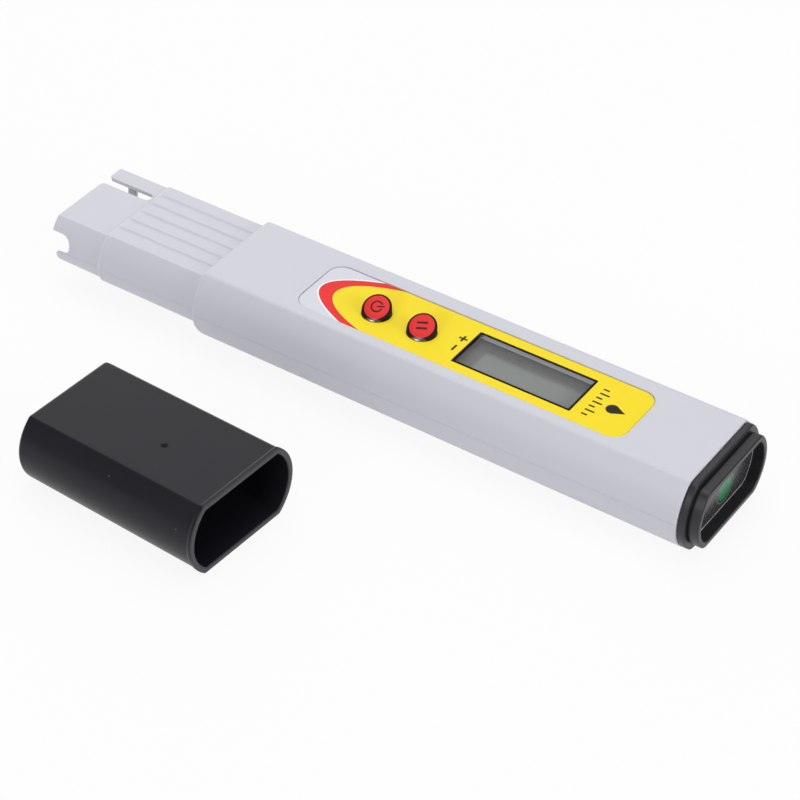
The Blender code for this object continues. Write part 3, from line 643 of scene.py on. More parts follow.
def key_finish(name, middle, mark):
    """Satin red key with its mark in dark ink, drawn on the plane of the face."""
    finish = Finish(name, Specular_IOR_Level=0.2)
    ahead, side = [finish.toward(middle, way) for way in ways(MARK_TURN)]
    soft = MARK_SOFT
    cloud = finish.noise(500.0, 2.0)
    tone = finish.mix(cloud, (0.78, 0.026, 0.026, 1), (0.83, 0.036, 0.034, 1))
    if mark == "power":
        gap = finish.within(side, 0.0, RING_GAP, soft) * finish.ramp(ahead, 0.0, 0.1 * MM)
        ring = finish.within(away(ahead, side), RING_RADIUS, RING_HALF, soft) * (1 - gap)
        stroke = finish.within(ahead, STROKE_REACH, STROKE_REACH, soft)
        ink = finish.most(ring, stroke * finish.within(side, 0.0, STROKE_HALF, soft))
    else:
        bars = finish.within(abs(side), BAR_OFFSET, BAR_HALF, soft)
        ink = bars * finish.within(ahead, 0.0, BAR_REACH, soft)
    finish.set(Base_Color=finish.mix(ink, tone, (0.09, 0.009, 0.01, 1)))
    finish.set(Roughness=0.42 + 0.1 * (cloud - 0.5) + 0.1 * ink)
    finish.bump(finish.noise(2200.0, 2.0) - 0.8 * ink, 0.05, 0.08 * MM)
    return finish.material


def key_wall_finish(name, middle):
    """Side of a key: satin, red behind, and dark in front as painted shade."""
    finish = Finish(name, Specular_IOR_Level=0.12)
    beyond = 0.0 - finish.toward(middle, BUTTON_NEAR)
    # Painted shade: the near side of the wall is dark, the far side red
    behind = finish.ramp(beyond, 0.45 * BUTTON_RADIUS, 0.8 * BUTTON_RADIUS)
    cloud = finish.noise(600.0, 2.0)
    dark = finish.mix(cloud, *KEY_DARK)
    red = finish.mix(cloud, (0.6, 0.026, 0.026, 1), (0.68, 0.036, 0.034, 1))
    finish.set(Base_Color=finish.mix(behind, dark, red), Roughness=0.5 + 0.1 * cloud)
    return finish.material


def key_rim_finish(name, middle):
    """Dark rim of a key, satin, with a glossy coat only at its near edge, which shows the side light there
    as a glint.
    """
    finish = Finish(name, Specular_IOR_Level=0.12, Coat_Roughness=0.2, Coat_IOR=2.8)
    nearer = finish.toward(middle, GLINT_WAY)
    cloud = finish.noise(600.0, 2.0)
    finish.set(Base_Color=finish.mix(cloud, *KEY_DARK), Roughness=0.5 + 0.1 * cloud)
    # Gloss only at the near edge, to place the side light's glint there
    finish.set(Coat_Weight=finish.ramp(nearer, 0.8 * BUTTON_RADIUS, 0.88 * BUTTON_RADIUS))
    return finish.material


def window_finish():
    """Clear pane: thin and glossy, with a breath of dust."""
    finish = Finish("clear_window", Specular_IOR_Level=0.5)
    dust = finish.noise(1800.0, 3.0)
    finish.set(Base_Color=finish.mix(dust, (0.8, 0.83, 0.82, 1), (0.9, 0.92, 0.9, 1)))
    finish.set(Alpha=0.06 + 0.04 * dust, Roughness=0.05 + 0.06 * dust)
    return finish.material


def lcd_finish():
    """Display panel: grey-green, darker towards its edges, partly its own mask and partly painted shade of
    the opening's walls, and lighter towards the near side as painted light.
    """
    finish = Finish("lcd_panel", Specular_IOR_Level=0.25)
    x, y, _ = finish.parts(finish.place)
    fine = finish.noise(4200.0, 2.0)
    cloud = finish.noise(120.0, 2.0)
    front = finish.ramp(x, *[along(DISPLAY_START + fade) for fade in LCD_SHADE_FRONT])
    rear = 1 - finish.ramp(x, *[along(DISPLAY_END - fade) for fade in LCD_SHADE_REAR])
    far = 1 - finish.ramp(y, *[FACE_OFFSET + fade for fade in LCD_SHADE_FAR])
    # Painted light: the panel is lighter towards the near side
    near = finish.ramp(y, FACE_OFFSET + LCD_SHADE_FAR[0], FACE_OFFSET - DISPLAY_WIDTH / 2)
    panel = finish.mix(cloud, (0.142, 0.164, 0.152, 1), (0.157, 0.179, 0.166, 1))
    panel = finish.mix(near, panel, (0.198, 0.217, 0.204, 1))
    # The dark edges are partly the panel's mask and partly painted shade of the opening's walls
    border_and_shade = finish.mix(far, (0.043, 0.04, 0.044, 1), (0.078, 0.073, 0.076, 1))
    tone = finish.mix(front * far * (0.6 + 0.4 * rear), border_and_shade, panel)
    finish.set(Base_Color=tone, Roughness=0.3 + 0.15 * (fine - 0.5) + 0.1 * (cloud - 0.5))
    return finish.material


def printed(name, grain, dark, light, roughness, **values):
    """Matte print or paper that wanders between two tones in a fine grain."""
    finish = Finish(name, **values)
    fine = finish.noise(grain, 3.0)
    finish.set(Base_Color=finish.mix(fine, dark, light), Roughness=roughness + 0.2 * (fine - 0.5))
    return finish.material


def frame_finish():
    """Dark ink of the line round the display."""
    tones = ((0.006, 0.004, 0.002, 1), (0.014, 0.009, 0.005, 1))
    return printed("display_line", 2000.0, *tones, 0.45, Specular_IOR_Level=0.05)


def film_finish():
    """Dark glossy speckled film in the lid's recess, with a green disc in a thin ring."""
    finish = Finish("dark_label", Specular_IOR_Level=0.6)
    _, y, z = finish.parts(finish.place)
    speckle = finish.noise(3200.0, 3.0)
    cloud = finish.noise(160.0, 2.0)
    grain = finish.ramp(speckle, 0.25, 0.8)
    tone = finish.mix(grain, (0.016, 0.0155, 0.016, 1), (0.095, 0.092, 0.095, 1))
    tone = finish.mix(0.3 * cloud, tone, (0.03, 0.03, 0.031, 1))
    distance = away(y - FILM_MARK[0], z - FILM_MARK[1])
    ring = finish.within(distance, FILM_RING, FILM_RING_HALF, FILM_SOFT)
    tone = finish.mix(0.7 * ring, tone, (0.1, 0.24, 0.15, 1))
    green = finish.mix(grain, (0.014, 0.15, 0.055, 1), (0.05, 0.28, 0.12, 1))
    disc = 1 - finish.ramp(distance, FILM_DISC - DISC_SOFT, FILM_DISC + DISC_SOFT)
    tone = finish.mix(disc, tone, green)
    finish.set(Base_Color=tone, Roughness=0.26 + 0.2 * (speckle - 0.5))
    finish.bump(speckle, 0.05, 0.04 * MM)
    return finish.material


def backing_finish():
    """Pale paper behind the lid's film."""
    return printed("film_backing", 1500.0, grey(0.6), grey(0.85), 0.5)


def metal(name, dark, light, roughness, grain=900.0, stretch=(1, 1, 1)):
    """Bare or plated metal with fine lines and faint stains."""
    finish = Finish(name, Metallic=1.0)
    lines = finish.noise(grain, 3.0, stretch)
    stain = finish.noise(220.0, 3.0)
    tone = finish.mix(stain, dark, light)
    finish.set(Base_Color=tone, Roughness=roughness + 0.16 * (lines - 0.5) + 0.14 * (stain - 0.5))
    finish.bump(lines, 0.06, 0.05 * MM)
    return finish.material


def rubber_finish():
    """Black rubber of the seals."""
    finish = moulded("seal_rubber", (0.022, 0.022, 0.024), 0.68, 1500.0, 0.15, 0.2)
    return finish.material


def board_finish():
    """Green solder mask over copper tracks."""
    finish = Finish("board_laminate", Coat_Weight=0.3, Coat_Roughness=0.2)
    _, y, _ = finish.parts(finish.place)
    wander = 0.6 * MM * finish.noise(180.0, 1.0)
    track = finish.math("PINGPONG", y + wander, 0.8 * MM)
    along_track = finish.ramp(finish.noise(160.0, 1.0, (1.0, 0.2, 1.0)), 0.46, 0.5)
    copper = finish.ramp(track, 0.42 * MM, 0.5 * MM) * along_track
    pad = 1 - finish.ramp(finish.cells(260.0), 0.12, 0.16)
    tone = finish.mix(copper, (0.012, 0.1, 0.04, 1), (0.03, 0.2, 0.085, 1))
    tone = finish.mix(pad * 0.8, tone, (0.62, 0.5, 0.25, 1))
    finish.set(Base_Color=tone, Roughness=0.38 + 0.1 * copper, Metallic=0.6 * pad)
    finish.bump(copper, 0.2, 0.04 * MM)
    return finish.material


def glass_finish():
    """Thin clear glass of the electrode's stem."""
    finish = Finish("electrode_glass", Coat_Weight=0.3)
    film = finish.noise(400.0, 3.0)
    finish.set(Base_Color=finish.mix(film, (0.72, 0.8, 0.82, 1), (0.86, 0.91, 0.92, 1)))
    finish.set(Alpha=0.3 + 0.16 * film, Roughness=0.06 + 0.08 * film)
    return finish.material


def simple(name, dark, light, roughness, scale=700.0, relief=0.08):
    """A finish that wanders between two tones, with a fine relief."""
    finish = Finish(name)
    cloud = finish.noise(scale, 3.0)
    fine = finish.noise(scale * 4, 2.0)
    finish.set(Base_Color=finish.mix(cloud, dark, light), Roughness=roughness + 0.16 * (fine - 0.5))
    finish.bump(fine, relief, 0.06 * MM)
    return finish.material


# Meshes

def linked(name, data):
    """An object in the scene that holds a mesh, a light or a camera."""
    made = bpy.data.objects.new(name, data)
    bpy.context.scene.collection.objects.link(made)
    return made


def settled(made):
    """The object's mesh with its modifiers worked in. The object goes."""
    evaluated = made.evaluated_get(bpy.context.evaluated_depsgraph_get())
    mesh = bpy.data.meshes.new_from_object(evaluated)
    bpy.data.objects.remove(made)
    return mesh


def grown(name, group, base, sizes):
    """What a node group makes of a base mesh and named sizes, as a plain mesh."""
    made = linked(name, base)
    modifier = made.modifiers.new(name, "NODES")
    modifier.node_group = group
    for socket in group.interface.items_tree:
        if socket.in_out == "INPUT" and socket.name in sizes:
            modifier[socket.identifier] = sizes[socket.name]
    mesh = settled(made)
    tidy(mesh)
    return mesh


def tidy(mesh):
    """Merges doubled points and turns the faces outwards."""
    work = bmesh.new()
    work.from_mesh(mesh)
    bmesh.ops.remove_doubles(work, verts=work.verts, dist=MERGE_DISTANCE)
    bmesh.ops.recalc_face_normals(work, faces=work.faces)
    work.to_mesh(mesh)
    work.free()


def points_mesh(name, points):
    """A mesh of loose points."""
    mesh = bpy.data.meshes.new(name)
    mesh.from_pydata([tuple(point) for point in points], [], [])
    return mesh


def section_group():
    """A solid on the pen's cross-section, drawn in at each station by the station's inset.

    The base mesh holds one point for each station: its x along the pen, as its y the inset, and as
    its z how far the underside is lifted. Its attribute draw is how far the lower sides come in.
    """
    names = ("Side Radius", "Side Centre", "Half Height", "Crease", "Shrink", "Least Crease")
    shape = Shape("drawn_section", dict.fromkeys(names, "Float"))
    half = SIDE_STEPS + CREASE_STEPS
    side_points = 2 * half + 1
    ring = 2 * side_points
    stations = shape.size("Geometry")
    count = shape.node("GeometryNodeAttributeDomainSize", {"component": "MESH"}, {"Geometry": stations})
    sockets = {"Vertices": ring, "Side Segments": count - 1}
    tube = shape.node("GeometryNodeMeshCylinder", {"fill_type": "NGON"}, sockets)
    index = shape.node("GeometryNodeInputIndex")
    row = shape.math("FLOOR", index / ring)
    column = index - row * ring
    second = shape.math("GREATER_THAN", column, side_points - 0.5)
    side = 1 - 2 * second
    rank = column - side_points * second - half
    upward = shape.math("SIGN", rank)
    rank = abs(rank)

    def at_station(kind, value):
        sockets = {"Geometry": stations, "Value": value, "Index": row}
        return shape.node("GeometryNodeSampleIndex", {"data_type": kind}, sockets)

    x, inset, lift = shape.parts(at_station("FLOAT_VECTOR", shape.node("GeometryNodeInputPosition")))
    field = shape.node("GeometryNodeInputNamedAttribute", {"data_type": "FLOAT"}, {"Name": "draw"})
    draw = at_station("FLOAT", field)
    crease = shape.size("Crease") - shape.size("Shrink") * inset
    crease = shape.math("MAXIMUM", crease, shape.size("Least Crease"))
    reach = shape.size("Side Radius") - inset - crease
    rise = shape.size("Half Height") - inset - crease
    turn = shape.math("ARCSINE", rise / reach)
    bend = turn * shape.math("MINIMUM", rank / SIDE_STEPS, 1.0)
    over = shape.math("MAXIMUM", (rank - SIDE_STEPS) / CREASE_STEPS, 0.0)
    angle = bend + (QUARTER - turn) * over
    out = reach * shape.math("COSINE", bend) + crease * shape.math("COSINE", angle)
    up = side * upward * (reach * shape.math("SINE", bend) + crease * shape.math("SINE", angle))
    under = shape.math("MAXIMUM", 0.0 - up / shape.size("Half Height"), 0.0)
    under = under * under
    y = side * (shape.size("Side Centre") + out - draw * under)
    z = shape.size("Half Height") + up + lift * under
    sockets = {"Geometry": tube, "Position": shape.point(x, y, z)}
    return shape.close(shape.node("GeometryNodeSetPosition", {}, sockets))


def groove_group():
    """A row of round rods side by side along Y, whose ends bend up."""
    sizes = {"Count": "Int", "Spacing": "Float", "Length": "Float", "Radius": "Float"}
    shape = Shape("groove_row", {**sizes, "Run": "Float", "Rise": "Float", "Place": "Vector"})
    end = shape.point(shape.size("Length"), 0.0, 0.0)
    line = shape.node("GeometryNodeCurvePrimitiveLine", {}, {"End": end})
    line = shape.node("GeometryNodeResampleCurve", {}, {"Curve": line, "Count": GROOVE_STEPS})
    share = shape.node("GeometryNodeSplineParameter")
    inward = shape.math("MINIMUM", share, 1 - share) * shape.size("Length")
    fade = shape.math("MAXIMUM", 1 - inward / shape.size("Run"), 0.0)
    bent = shape.point(0.0, 0.0, shape.size("Rise") * fade * fade)
    line = shape.node("GeometryNodeSetPosition", {}, {"Geometry": line, "Offset": bent})
    sockets = {"Resolution": GROOVE_SIDES, "Radius": shape.size("Radius")}
    round_profile = shape.node("GeometryNodeCurvePrimitiveCircle", {}, sockets)
    sockets = {"Curve": line, "Profile Curve": round_profile, "Fill Caps": True}
    rod = shape.node("GeometryNodeCurveToMesh", {}, sockets)
    sockets = {
        "Count": shape.size("Count"),
        "Start Location": shape.size("Place"),
        "Offset": shape.point(0.0, shape.size("Spacing"), 0.0),
    }
    places = shape.node("GeometryNodeMeshLine", {}, sockets)
    rods = shape.node("GeometryNodeInstanceOnPoints", {}, {"Points": places, "Instance": rod})
    return shape.close(rods)


def ring_group():
    """A flat frame that follows a rectangle with round corners."""
    sizes = {"Length": "Float", "Width": "Float", "Corner": "Float", "Line": "Float", "Thickness": "Float"}
    shape = Shape("frame_ring", {**sizes, "Place": "Vector"})
    sockets = {"Width": shape.size("Length"), "Height": shape.size("Width")}
    path = shape.node("GeometryNodeCurvePrimitiveQuadrilateral", {}, sockets)
    sockets = {"Curve": path, "Radius": shape.size("Corner"), "Count": FRAME_CORNER_STEPS}
    path = shape.node("GeometryNodeFilletCurve", {"mode": "POLY"}, sockets)
    sockets = {"Width": shape.size("Line"), "Height": shape.size("Thickness")}
    profile = shape.node("GeometryNodeCurvePrimitiveQuadrilateral", {}, sockets)
    ring = shape.node("GeometryNodeCurveToMesh", {}, {"Curve": path, "Profile Curve": profile})
    ring = shape.node("GeometryNodeTransform", {}, {"Geometry": ring, "Translation": shape.size("Place")})
    return shape.close(ring)


def grid_group():
    """The base mesh repeated on a grid of places."""
    sizes = {"Length": "Float", "Width": "Float", "Columns": "Int", "Rows": "Int", "Place": "Vector"}
    shape = Shape("on_a_grid", sizes)
    sockets = {
        "Size X": shape.size("Length"),
        "Size Y": shape.size("Width"),
        "Vertices X": shape.size("Columns"),
        "Vertices Y": shape.size("Rows"),
    }
    grid = shape.node("GeometryNodeMeshGrid", {}, sockets)
    places = shape.node("GeometryNodeTransform", {}, {"Geometry": grid, "Translation": shape.size("Place")})
    sockets = {"Points": places, "Instance": shape.size("Geometry")}
    return shape.close(shape.node("GeometryNodeInstanceOnPoints", {}, sockets))


section_shape = section_group()
groove_shape = groove_group()
ring_shape = ring_group()
grid_shape = grid_group()


def drawn(name, stations, material, crease, shrink=1.0):
    """A solid on the pen's cross-section through stations: x, inset and, where needed, lift and draw."""
    full = [(*station, 0.0, 0.0)[:4] for station in stations]
    base = points_mesh(name, [station[:3] for station in full])
    draw = base.attributes.new("draw", "FLOAT", "POINT")
    draw.data.foreach_set("value", [station[3] for station in full])
    sizes = {
        "Side Radius": SIDE_RADIUS,
        "Side Centre": SIDE_CENTRE,
        "Half Height": MIDDLE_HEIGHT,
        "Crease": crease,
        "Shrink": shrink,
        "Least Crease": LEAST_CREASE,
        "Material": material,
    }
    return grown(name, section_shape, base, sizes)


def skin(name, rings, material, bands=()):
    """A closed mesh through rings of points. bands are the rings where the next material starts."""
    work = bmesh.new()
    loops = [[work.verts.new(point) for point in ring] for ring in rings]
    for row, (first, second) in enumerate(zip(loops, loops[1:])):
        slot = sum(1 for start in bands if row >= start)
        for i in range(len(first)):
            j = (i + 1) % len(first)
            face = work.faces.new((first[i], first[j], second[j], second[i]))
            face.material_index = slot
    work.faces.new(loops[0])
    top = work.faces.new(loops[-1])
    top.material_index = len(bands)
    bmesh.ops.recalc_face_normals(work, faces=work.faces)
    mesh = bpy.data.meshes.new(name)
    work.to_mesh(mesh)
    work.free()
    for each in material if isinstance(material, list) else [material]:
        mesh.materials.append(each)
    return mesh


def prism(name, outline, depth, material):
    """An outline pushed along a vector."""
    return skin(name, [outline, [Vector(point) + Vector(depth) for point in outline]], material)


def arc(middle, radius, first, last, steps):
    """Points of an arc from one angle to another, with both its ends."""
    points = []
    for step in range(steps + 1):
        angle = first + (last - first) * step / steps
        points.append((middle[0] + radius * math.cos(angle), middle[1] + radius * math.sin(angle)))
    return points


def turned(name, middle, profile, material, bands=(), axis="Z", steps=ROUND_STEPS):
    """A solid turned about an axis through a middle: (radius, place along the axis) rings."""
    rings = []
    for radius, height in profile:
        ring = arc(middle, radius, 0.0, 2 * math.pi, steps)[:-1]
        if axis == "Z":
            rings.append([(first, second, height) for first, second in ring])
        else:
            rings.append([(height, first, second) for first, second in ring])
    return skin(name, rings, material, bands)


def rounded(middle, length, width, corner, z, steps=CORNER_STEPS):
    """A rectangle with round corners, flat at a height."""
    points = []
    for quarter, (sx, sy) in enumerate(((1, 1), (-1, 1), (-1, -1), (1, -1))):
        centre = (middle[0] + sx * (length / 2 - corner), middle[1] + sy * (width / 2 - corner))
        points += arc(centre, corner, QUARTER * quarter, QUARTER * (quarter + 1), steps)
    return [(x, y, z) for x, y in points]


def carved(name, mesh, cutters, joined=()):
    """The mesh with others joined to it and cutters taken from it."""
    made = linked(name, mesh)
    helpers = []
    for operation, others in (("UNION", joined), ("DIFFERENCE", cutters)):
        for other in others:
            helper = linked(other.name, other)
            modifier = made.modifiers.new(helper.name, "BOOLEAN")
            modifier.operation = operation
            modifier.solver = "EXACT"
            modifier.object = helper
            helpers.append(helper)
    result = settled(made)
    for helper in helpers:
        bpy.data.objects.remove(helper)
    tidy(result)
    return result


def smoothed(name, mesh, edge=0.0):
    """Rounds the sharp edges, and lets the wide faces rule the shading."""
    mesh.shade_smooth()
    mesh.set_sharp_from_angle(angle=SHARP_ANGLE)
    made = linked(name, mesh)
    if edge:
        bevel = made.modifiers.new("edges", "BEVEL")
        bevel.width = edge
        bevel.segments = BEVEL_SEGMENTS
        bevel.limit_method = "ANGLE"
        bevel.angle_limit = BEVEL_ANGLE
        bevel.use_clamp_overlap = False
    weighted = made.modifiers.new("weighted", "WEIGHTED_NORMAL")
    weighted.keep_sharp = True
    return settled(made)


def piece(name, mesh, body, slot, *replaced):
    """A finished piece on its body."""
    made = linked(name, mesh)
    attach(made, body)
    if replaced:
        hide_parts(*replaced)
    return made


# Pieces

def smooth_step(start, end, low, high, steps):
    """(place, value) stations of a soft step."""
    stations = []
    for i in range(steps + 1):
        share = i / steps
        eased = share * share * (3 - 2 * share)
        stations.append((start + (end - start) * share, low + (high - low) * eased))
    return stations


def quarter_edge(place, inset, radius, direction):
    """(place, inset) stations of a rounded edge: into a side (1), or out of it (-1)."""
    points = arc((radius, radius), radius, 2 * QUARTER, 3 * QUARTER, EDGE_STEPS)
    stations = [(place + direction * x, inset + y) for x, y in points]
    return stations if direction > 0 else stations[::-1]


def underside(place):
    """How far the underside is lifted and its sides come in at a place along the pen."""
    for (start, *low), (end, *high) in zip(UNDERSIDE, UNDERSIDE[1:]):
        if place <= end:
            share = max(0.0, place - start) / (end - start)
            return [first + (last - first) * share for first, last in zip(low, high)]
    return UNDERSIDE[-1][1:]


def casing_stations():
    """Stations of the casing's outside: the tip, the step to the nose, the shoulder and the body."""
    stations = quarter_edge(TIP_START, TIP_INSET, TIP_EDGE, 1)
    stations += smooth_step(TIP_LENGTH, TIP_LENGTH + TIP_STEP, TIP_INSET, NOSE_INSET, SOFT_STEPS)
    length = BODY_START - NOSE_END
    for share, inset in SHOULDER_BEND:
        stations.append((NOSE_END + length * share, NOSE_INSET * inset))
    stations += quarter_edge(BODY_END, 0.0, EDGE, -1)
    return [(along(x), inset, *underside(x)) for x, inset in stations]


def lean_cutter(name, material):
    """What sets back the near side of the tip below its notch."""
    middle = MIDDLE_HEIGHT + NOTCH_RISE
    lip = middle - NOTCH_HEIGHT / 2
    corners = [(-PAST, 0.0), (TIP_LEAN, 0.0), (TIP_LEAN, lip), (TIP_START, middle), (-PAST, middle)]
    points = [(along(x), -BODY_WIDTH, z) for x, z in corners]
    return prism(name, points, (0, BODY_WIDTH, 0), material)


def slot_cutter(name, material, flipped):
    """The open slot in the tip, with a round end and rounded corners at its mouth."""
    radius = SLOT_WIDTH / 2
    end = arc((SLOT_LENGTH - radius, 0.0), radius, -QUARTER, QUARTER, ROUND_END_STEPS)
    corner = (SLOT_CORNER, radius + SLOT_CORNER)
    mouth = [(-PAST, radius + SLOT_CORNER)]
    mouth += arc(corner, SLOT_CORNER, 2 * QUARTER, 3 * QUARTER, ROUND_END_STEPS)
    points = [(x, -y) for x, y in mouth] + end + mouth[::-1]
    points = [(along(x), SLOT_OFFSET + y) for x, y in points]
    depth = TIP_INSET + NOSE_WALL + PAST
    if flipped:
        return prism(name, [(x, -y, 0.0) for x, y in points], (0, 0, depth), material)
    return prism(name, [(x, y, BODY_HEIGHT) for x, y in points], (0, 0, -depth), material)


def side_cutter(name, points, side, material):
    """An outline (place along the pen, height) cut into the near side (-1) or far side (1) of the tip."""
    outline = [(along(x), side * BODY_WIDTH / 2, z) for x, z in points]
    return prism(name, outline, (0, -side * TIP_SIDE_DEPTH, 0), material)


def notch_cutter(name, material):
    """The notch in the near side of the tip."""
    radius = NOTCH_HEIGHT / 2
    middle = MIDDLE_HEIGHT + NOTCH_RISE
    end = arc((NOTCH_LENGTH - radius, middle), radius, -QUARTER, QUARTER, ROUND_END_STEPS)
    points = [(-PAST, middle - radius), *end, (-PAST, middle + radius)]
    return side_cutter(name, points, -1, material)


def port_cutter(name, material):
    """The port in the far side of the tip."""
    radius = PORT_HEIGHT / 2
    middle = MIDDLE_HEIGHT + PORT_RISE
    rear = PORT_START + PORT_LENGTH - radius
    points = arc((rear, middle), radius, -QUARTER, QUARTER, ROUND_END_STEPS)
    points += arc((PORT_START + radius, middle), radius, QUARTER, 3 * QUARTER, ROUND_END_STEPS)
    return side_cutter(name, points, 1, material)


def hollows(name, material):
    """Cutters of the casing's inside and of the water ways of the tip."""
    start = BODY_START + BODY_WALL
    room = [(along(start), BODY_WALL), (along(BODY_END + PAST), BODY_WALL)]
    places = (
        (-PAST, TIP_INSET + TIP_WALL),
        (TIP_LENGTH, TIP_INSET + TIP_WALL),
        (TIP_LENGTH + TIP_STEP, NOSE_INSET + NOSE_WALL),
        (start + PAST, NOSE_INSET + NOSE_WALL),
    )
    nose = [(along(place), inset, *underside(min(place, NOSE_END))) for place, inset in places]
    return [
        drawn(name + "_room", room, material, 0.0),
        drawn(name + "_nose", nose, material, 0.0),
        slot_cutter(name + "_slot", material, False),
        slot_cutter(name + "_slot_below", material, True),
        notch_cutter(name + "_notch", material),
        port_cutter(name + "_port", material),
        lean_cutter(name + "_lean", material),
    ]


def slab(name, low, high, material):
    """A block wider than the pen, between two heights."""
    front = along(-PAST)
    rear = front + PEN_LENGTH + 2 * PAST
    corners = ((front, -BODY_WIDTH), (rear, -BODY_WIDTH), (rear, BODY_WIDTH), (front, BODY_WIDTH))
    outline = [(x, y, low) for x, y in corners]
    return prism(name, outline, (0, 0, high - low), material)


def key_places():
    """Places of the two keys' middles."""
    return {"power": (along(POWER_PLACE), BUTTON_OFFSET), "hold": (along(HOLD_PLACE), BUTTON_OFFSET)}


def face_openings(name, material, overhang=0.0):
    """Cutters of the display opening, wider by the overhang towards the nose, and of the key holes."""
    length = DISPLAY_END - DISPLAY_START + overhang
    middle = (along(DISPLAY_END - length / 2), FACE_OFFSET)
    outline = rounded(middle, length, DISPLAY_WIDTH, LABEL_GAP, BUTTON_BOTTOM, DISPLAY_CORNER_STEPS)
    cutters = [prism(name + "_display", outline, (0, 0, BODY_HEIGHT), material)]
    for key, place in key_places().items():
        profile = [(BUTTON_HOLE, BUTTON_BOTTOM), (BUTTON_HOLE, BODY_HEIGHT + PAST)]
        cutters.append(turned(f"{name}_{key}", place, profile, material))
    return cutters


def label_outline(shrink, z):
    """Outline of the label's recess, drawn in by shrink."""
    middle = (along((LABEL_START + LABEL_END) / 2), FACE_OFFSET)
    length = LABEL_END - LABEL_START - 2 * shrink
    return rounded(middle, length, LABEL_WIDTH - 2 * shrink, LABEL_CORNER - shrink, z)


def grooves(material):
    """The rods that cut the grip grooves into the nose."""
    rod = (GROOVE_WIDTH**2 / 4 + GROOVE_DEPTH**2) / (2 * GROOVE_DEPTH)
    top = BODY_HEIGHT - NOSE_INSET
    first = -(GROOVE_COUNT - 1) / 2 * GROOVE_SPACING
    sizes = {
        "Count": GROOVE_COUNT,
        "Spacing": GROOVE_SPACING,
        "Length": GROOVE_END - GROOVE_START,
        "Radius": rod,
        "Run": GROOVE_RUN,
        "Rise": GROOVE_RISE,
        "Place": (along(GROOVE_START), first, top - GROOVE_DEPTH + rod),
        "Material": material,
    }
    return grown("grip_grooves", groove_shape, points_mesh("grip_grooves", []), sizes)


def board_posts(material):
    """The four posts that the board is screwed to."""
    profile = [(POST_RADIUS, POST_FOOT), (POST_RADIUS, BODY_HEIGHT - BODY_WALL / 2)]
    post = turned("board_post", (0.0, 0.0), profile, material, steps=POST_SIDES)
    sizes = {
        "Length": POST_REAR - POST_FRONT,
        "Width": 2 * POST_OFFSET,
        "Columns": 2,
        "Rows": 2,
        "Place": (along((POST_FRONT + POST_REAR) / 2), 0.0, 0.0),
        "Material": material,
    }
    return grown("board_posts", grid_shape, post, sizes)


def make_casing(material):
    """The two halves of the casing, with their inside, the face's openings and the board's posts."""
    front = drawn("casing_front", casing_stations(), material, CASING_CREASE)
    cutters = hollows("front", material)
    below = slab("front_below", -PAST, PARTING_HEIGHT + PARTING_GAP / 2, material)
    recess = prism("label_recess", label_outline(0.0, BODY_HEIGHT - LABEL_SINK), (0, 0, PAST), material)
    cutters += [below, grooves(material), recess]
    front = carved("casing_front", front, cutters)
    openings = face_openings("front", material, DISPLAY_OVERHANG)
    front = carved("casing_front", front, openings, [board_posts(material)])
    front = smoothed("casing_front", front, CASING_EDGE)
    piece("casing_front", front, "pen", "shell_plastic", "front_shell")
    back = drawn("casing_back", casing_stations(), material, CASING_CREASE)
    above = slab("back_above", PARTING_HEIGHT - PARTING_GAP / 2, BODY_HEIGHT + PAST, material)
    back = carved("casing_back", back, hollows("back", material) + [above])
    back = smoothed("casing_back", back, CASING_EDGE)
    piece("casing_back", back, "pen", "shell_plastic", "rear_shell")


def make_label(material):
    """The printed film in the recess of the face."""
    low = LABEL_FILM_TOP - LABEL_THICKNESS
    film = prism("face_label", label_outline(LABEL_GAP, low), (0, 0, LABEL_THICKNESS), material)
    film = carved("face_label", film, face_openings("label", material))
    film = smoothed("face_label", film, LABEL_EDGE)
    piece("face_label", film, "pen", "label_print", "front_label")


def make_display(line):
    """The dark printed line round the display."""
    height = LABEL_FILM_TOP + FRAME_RISE - FRAME_THICKNESS / 2
    sizes = {
        "Length": DISPLAY_END - DISPLAY_START - FRAME_LINE - FRAME_GAP,
        "Width": DISPLAY_WIDTH - FRAME_LINE - FRAME_GAP,
        "Corner": FRAME_CORNER,
        "Line": FRAME_LINE,
        "Thickness": FRAME_THICKNESS,
        "Place": (along((DISPLAY_START + DISPLAY_END) / 2), FACE_OFFSET, height),
        "Material": line,
    }
    ring = grown("display_frame", ring_shape, points_mesh("display_frame", []), sizes)
    ring = smoothed("display_frame", ring, FRAME_EDGE)
    piece("display_frame", ring, "pen", "black_plastic")


def make_keys():
    """The two keys: a dark rim round a red face, which slopes towards the near side."""
    for name, place in key_places().items():
        wall = key_wall_finish(name + "_key_wall", place)
        rim = key_rim_finish(name + "_key_rim", place)
        red = key_finish(name + "_key_top", place, name)
        rings = [
            (BUTTON_RADIUS + BUTTON_FLANGE, BUTTON_BOTTOM),
            (BUTTON_RADIUS + BUTTON_FLANGE, BUTTON_SHELF),
            (BUTTON_RADIUS, BUTTON_SHELF),
        ]
        level = len(rings)
        edge = BUTTON_RADIUS - BEZEL_ROUND
        rings += arc((edge, BUTTON_BEZEL - BEZEL_ROUND), BEZEL_ROUND, 0.0, QUARTER, BEZEL_STEPS)
        bands = (level, len(rings))
        for i in range(DOME_STEPS):
            share = 1 - i / DOME_STEPS
            rise = (BEZEL_GROOVE + BUTTON_DOME) * (1 - share**4)
            rings.append(((edge - BEZEL_GROOVE) * share, BUTTON_BEZEL - BEZEL_GROOVE + rise))
        mesh = turned(name + "_key", place, rings, [wall, rim, red], bands)
        for vertex in mesh.vertices[level * ROUND_STEPS:]:
            nearer = (vertex.co.x - place[0]) * BUTTON_NEAR[0] + (vertex.co.y - place[1]) * BUTTON_NEAR[1]
            vertex.co.z += math.tan(BUTTON_TILT) * (BUTTON_RADIUS - nearer)
        mesh = smoothed(name + "_key", mesh)
        piece(name + "_key", mesh, name + "_key", "red_button", name + "_button")


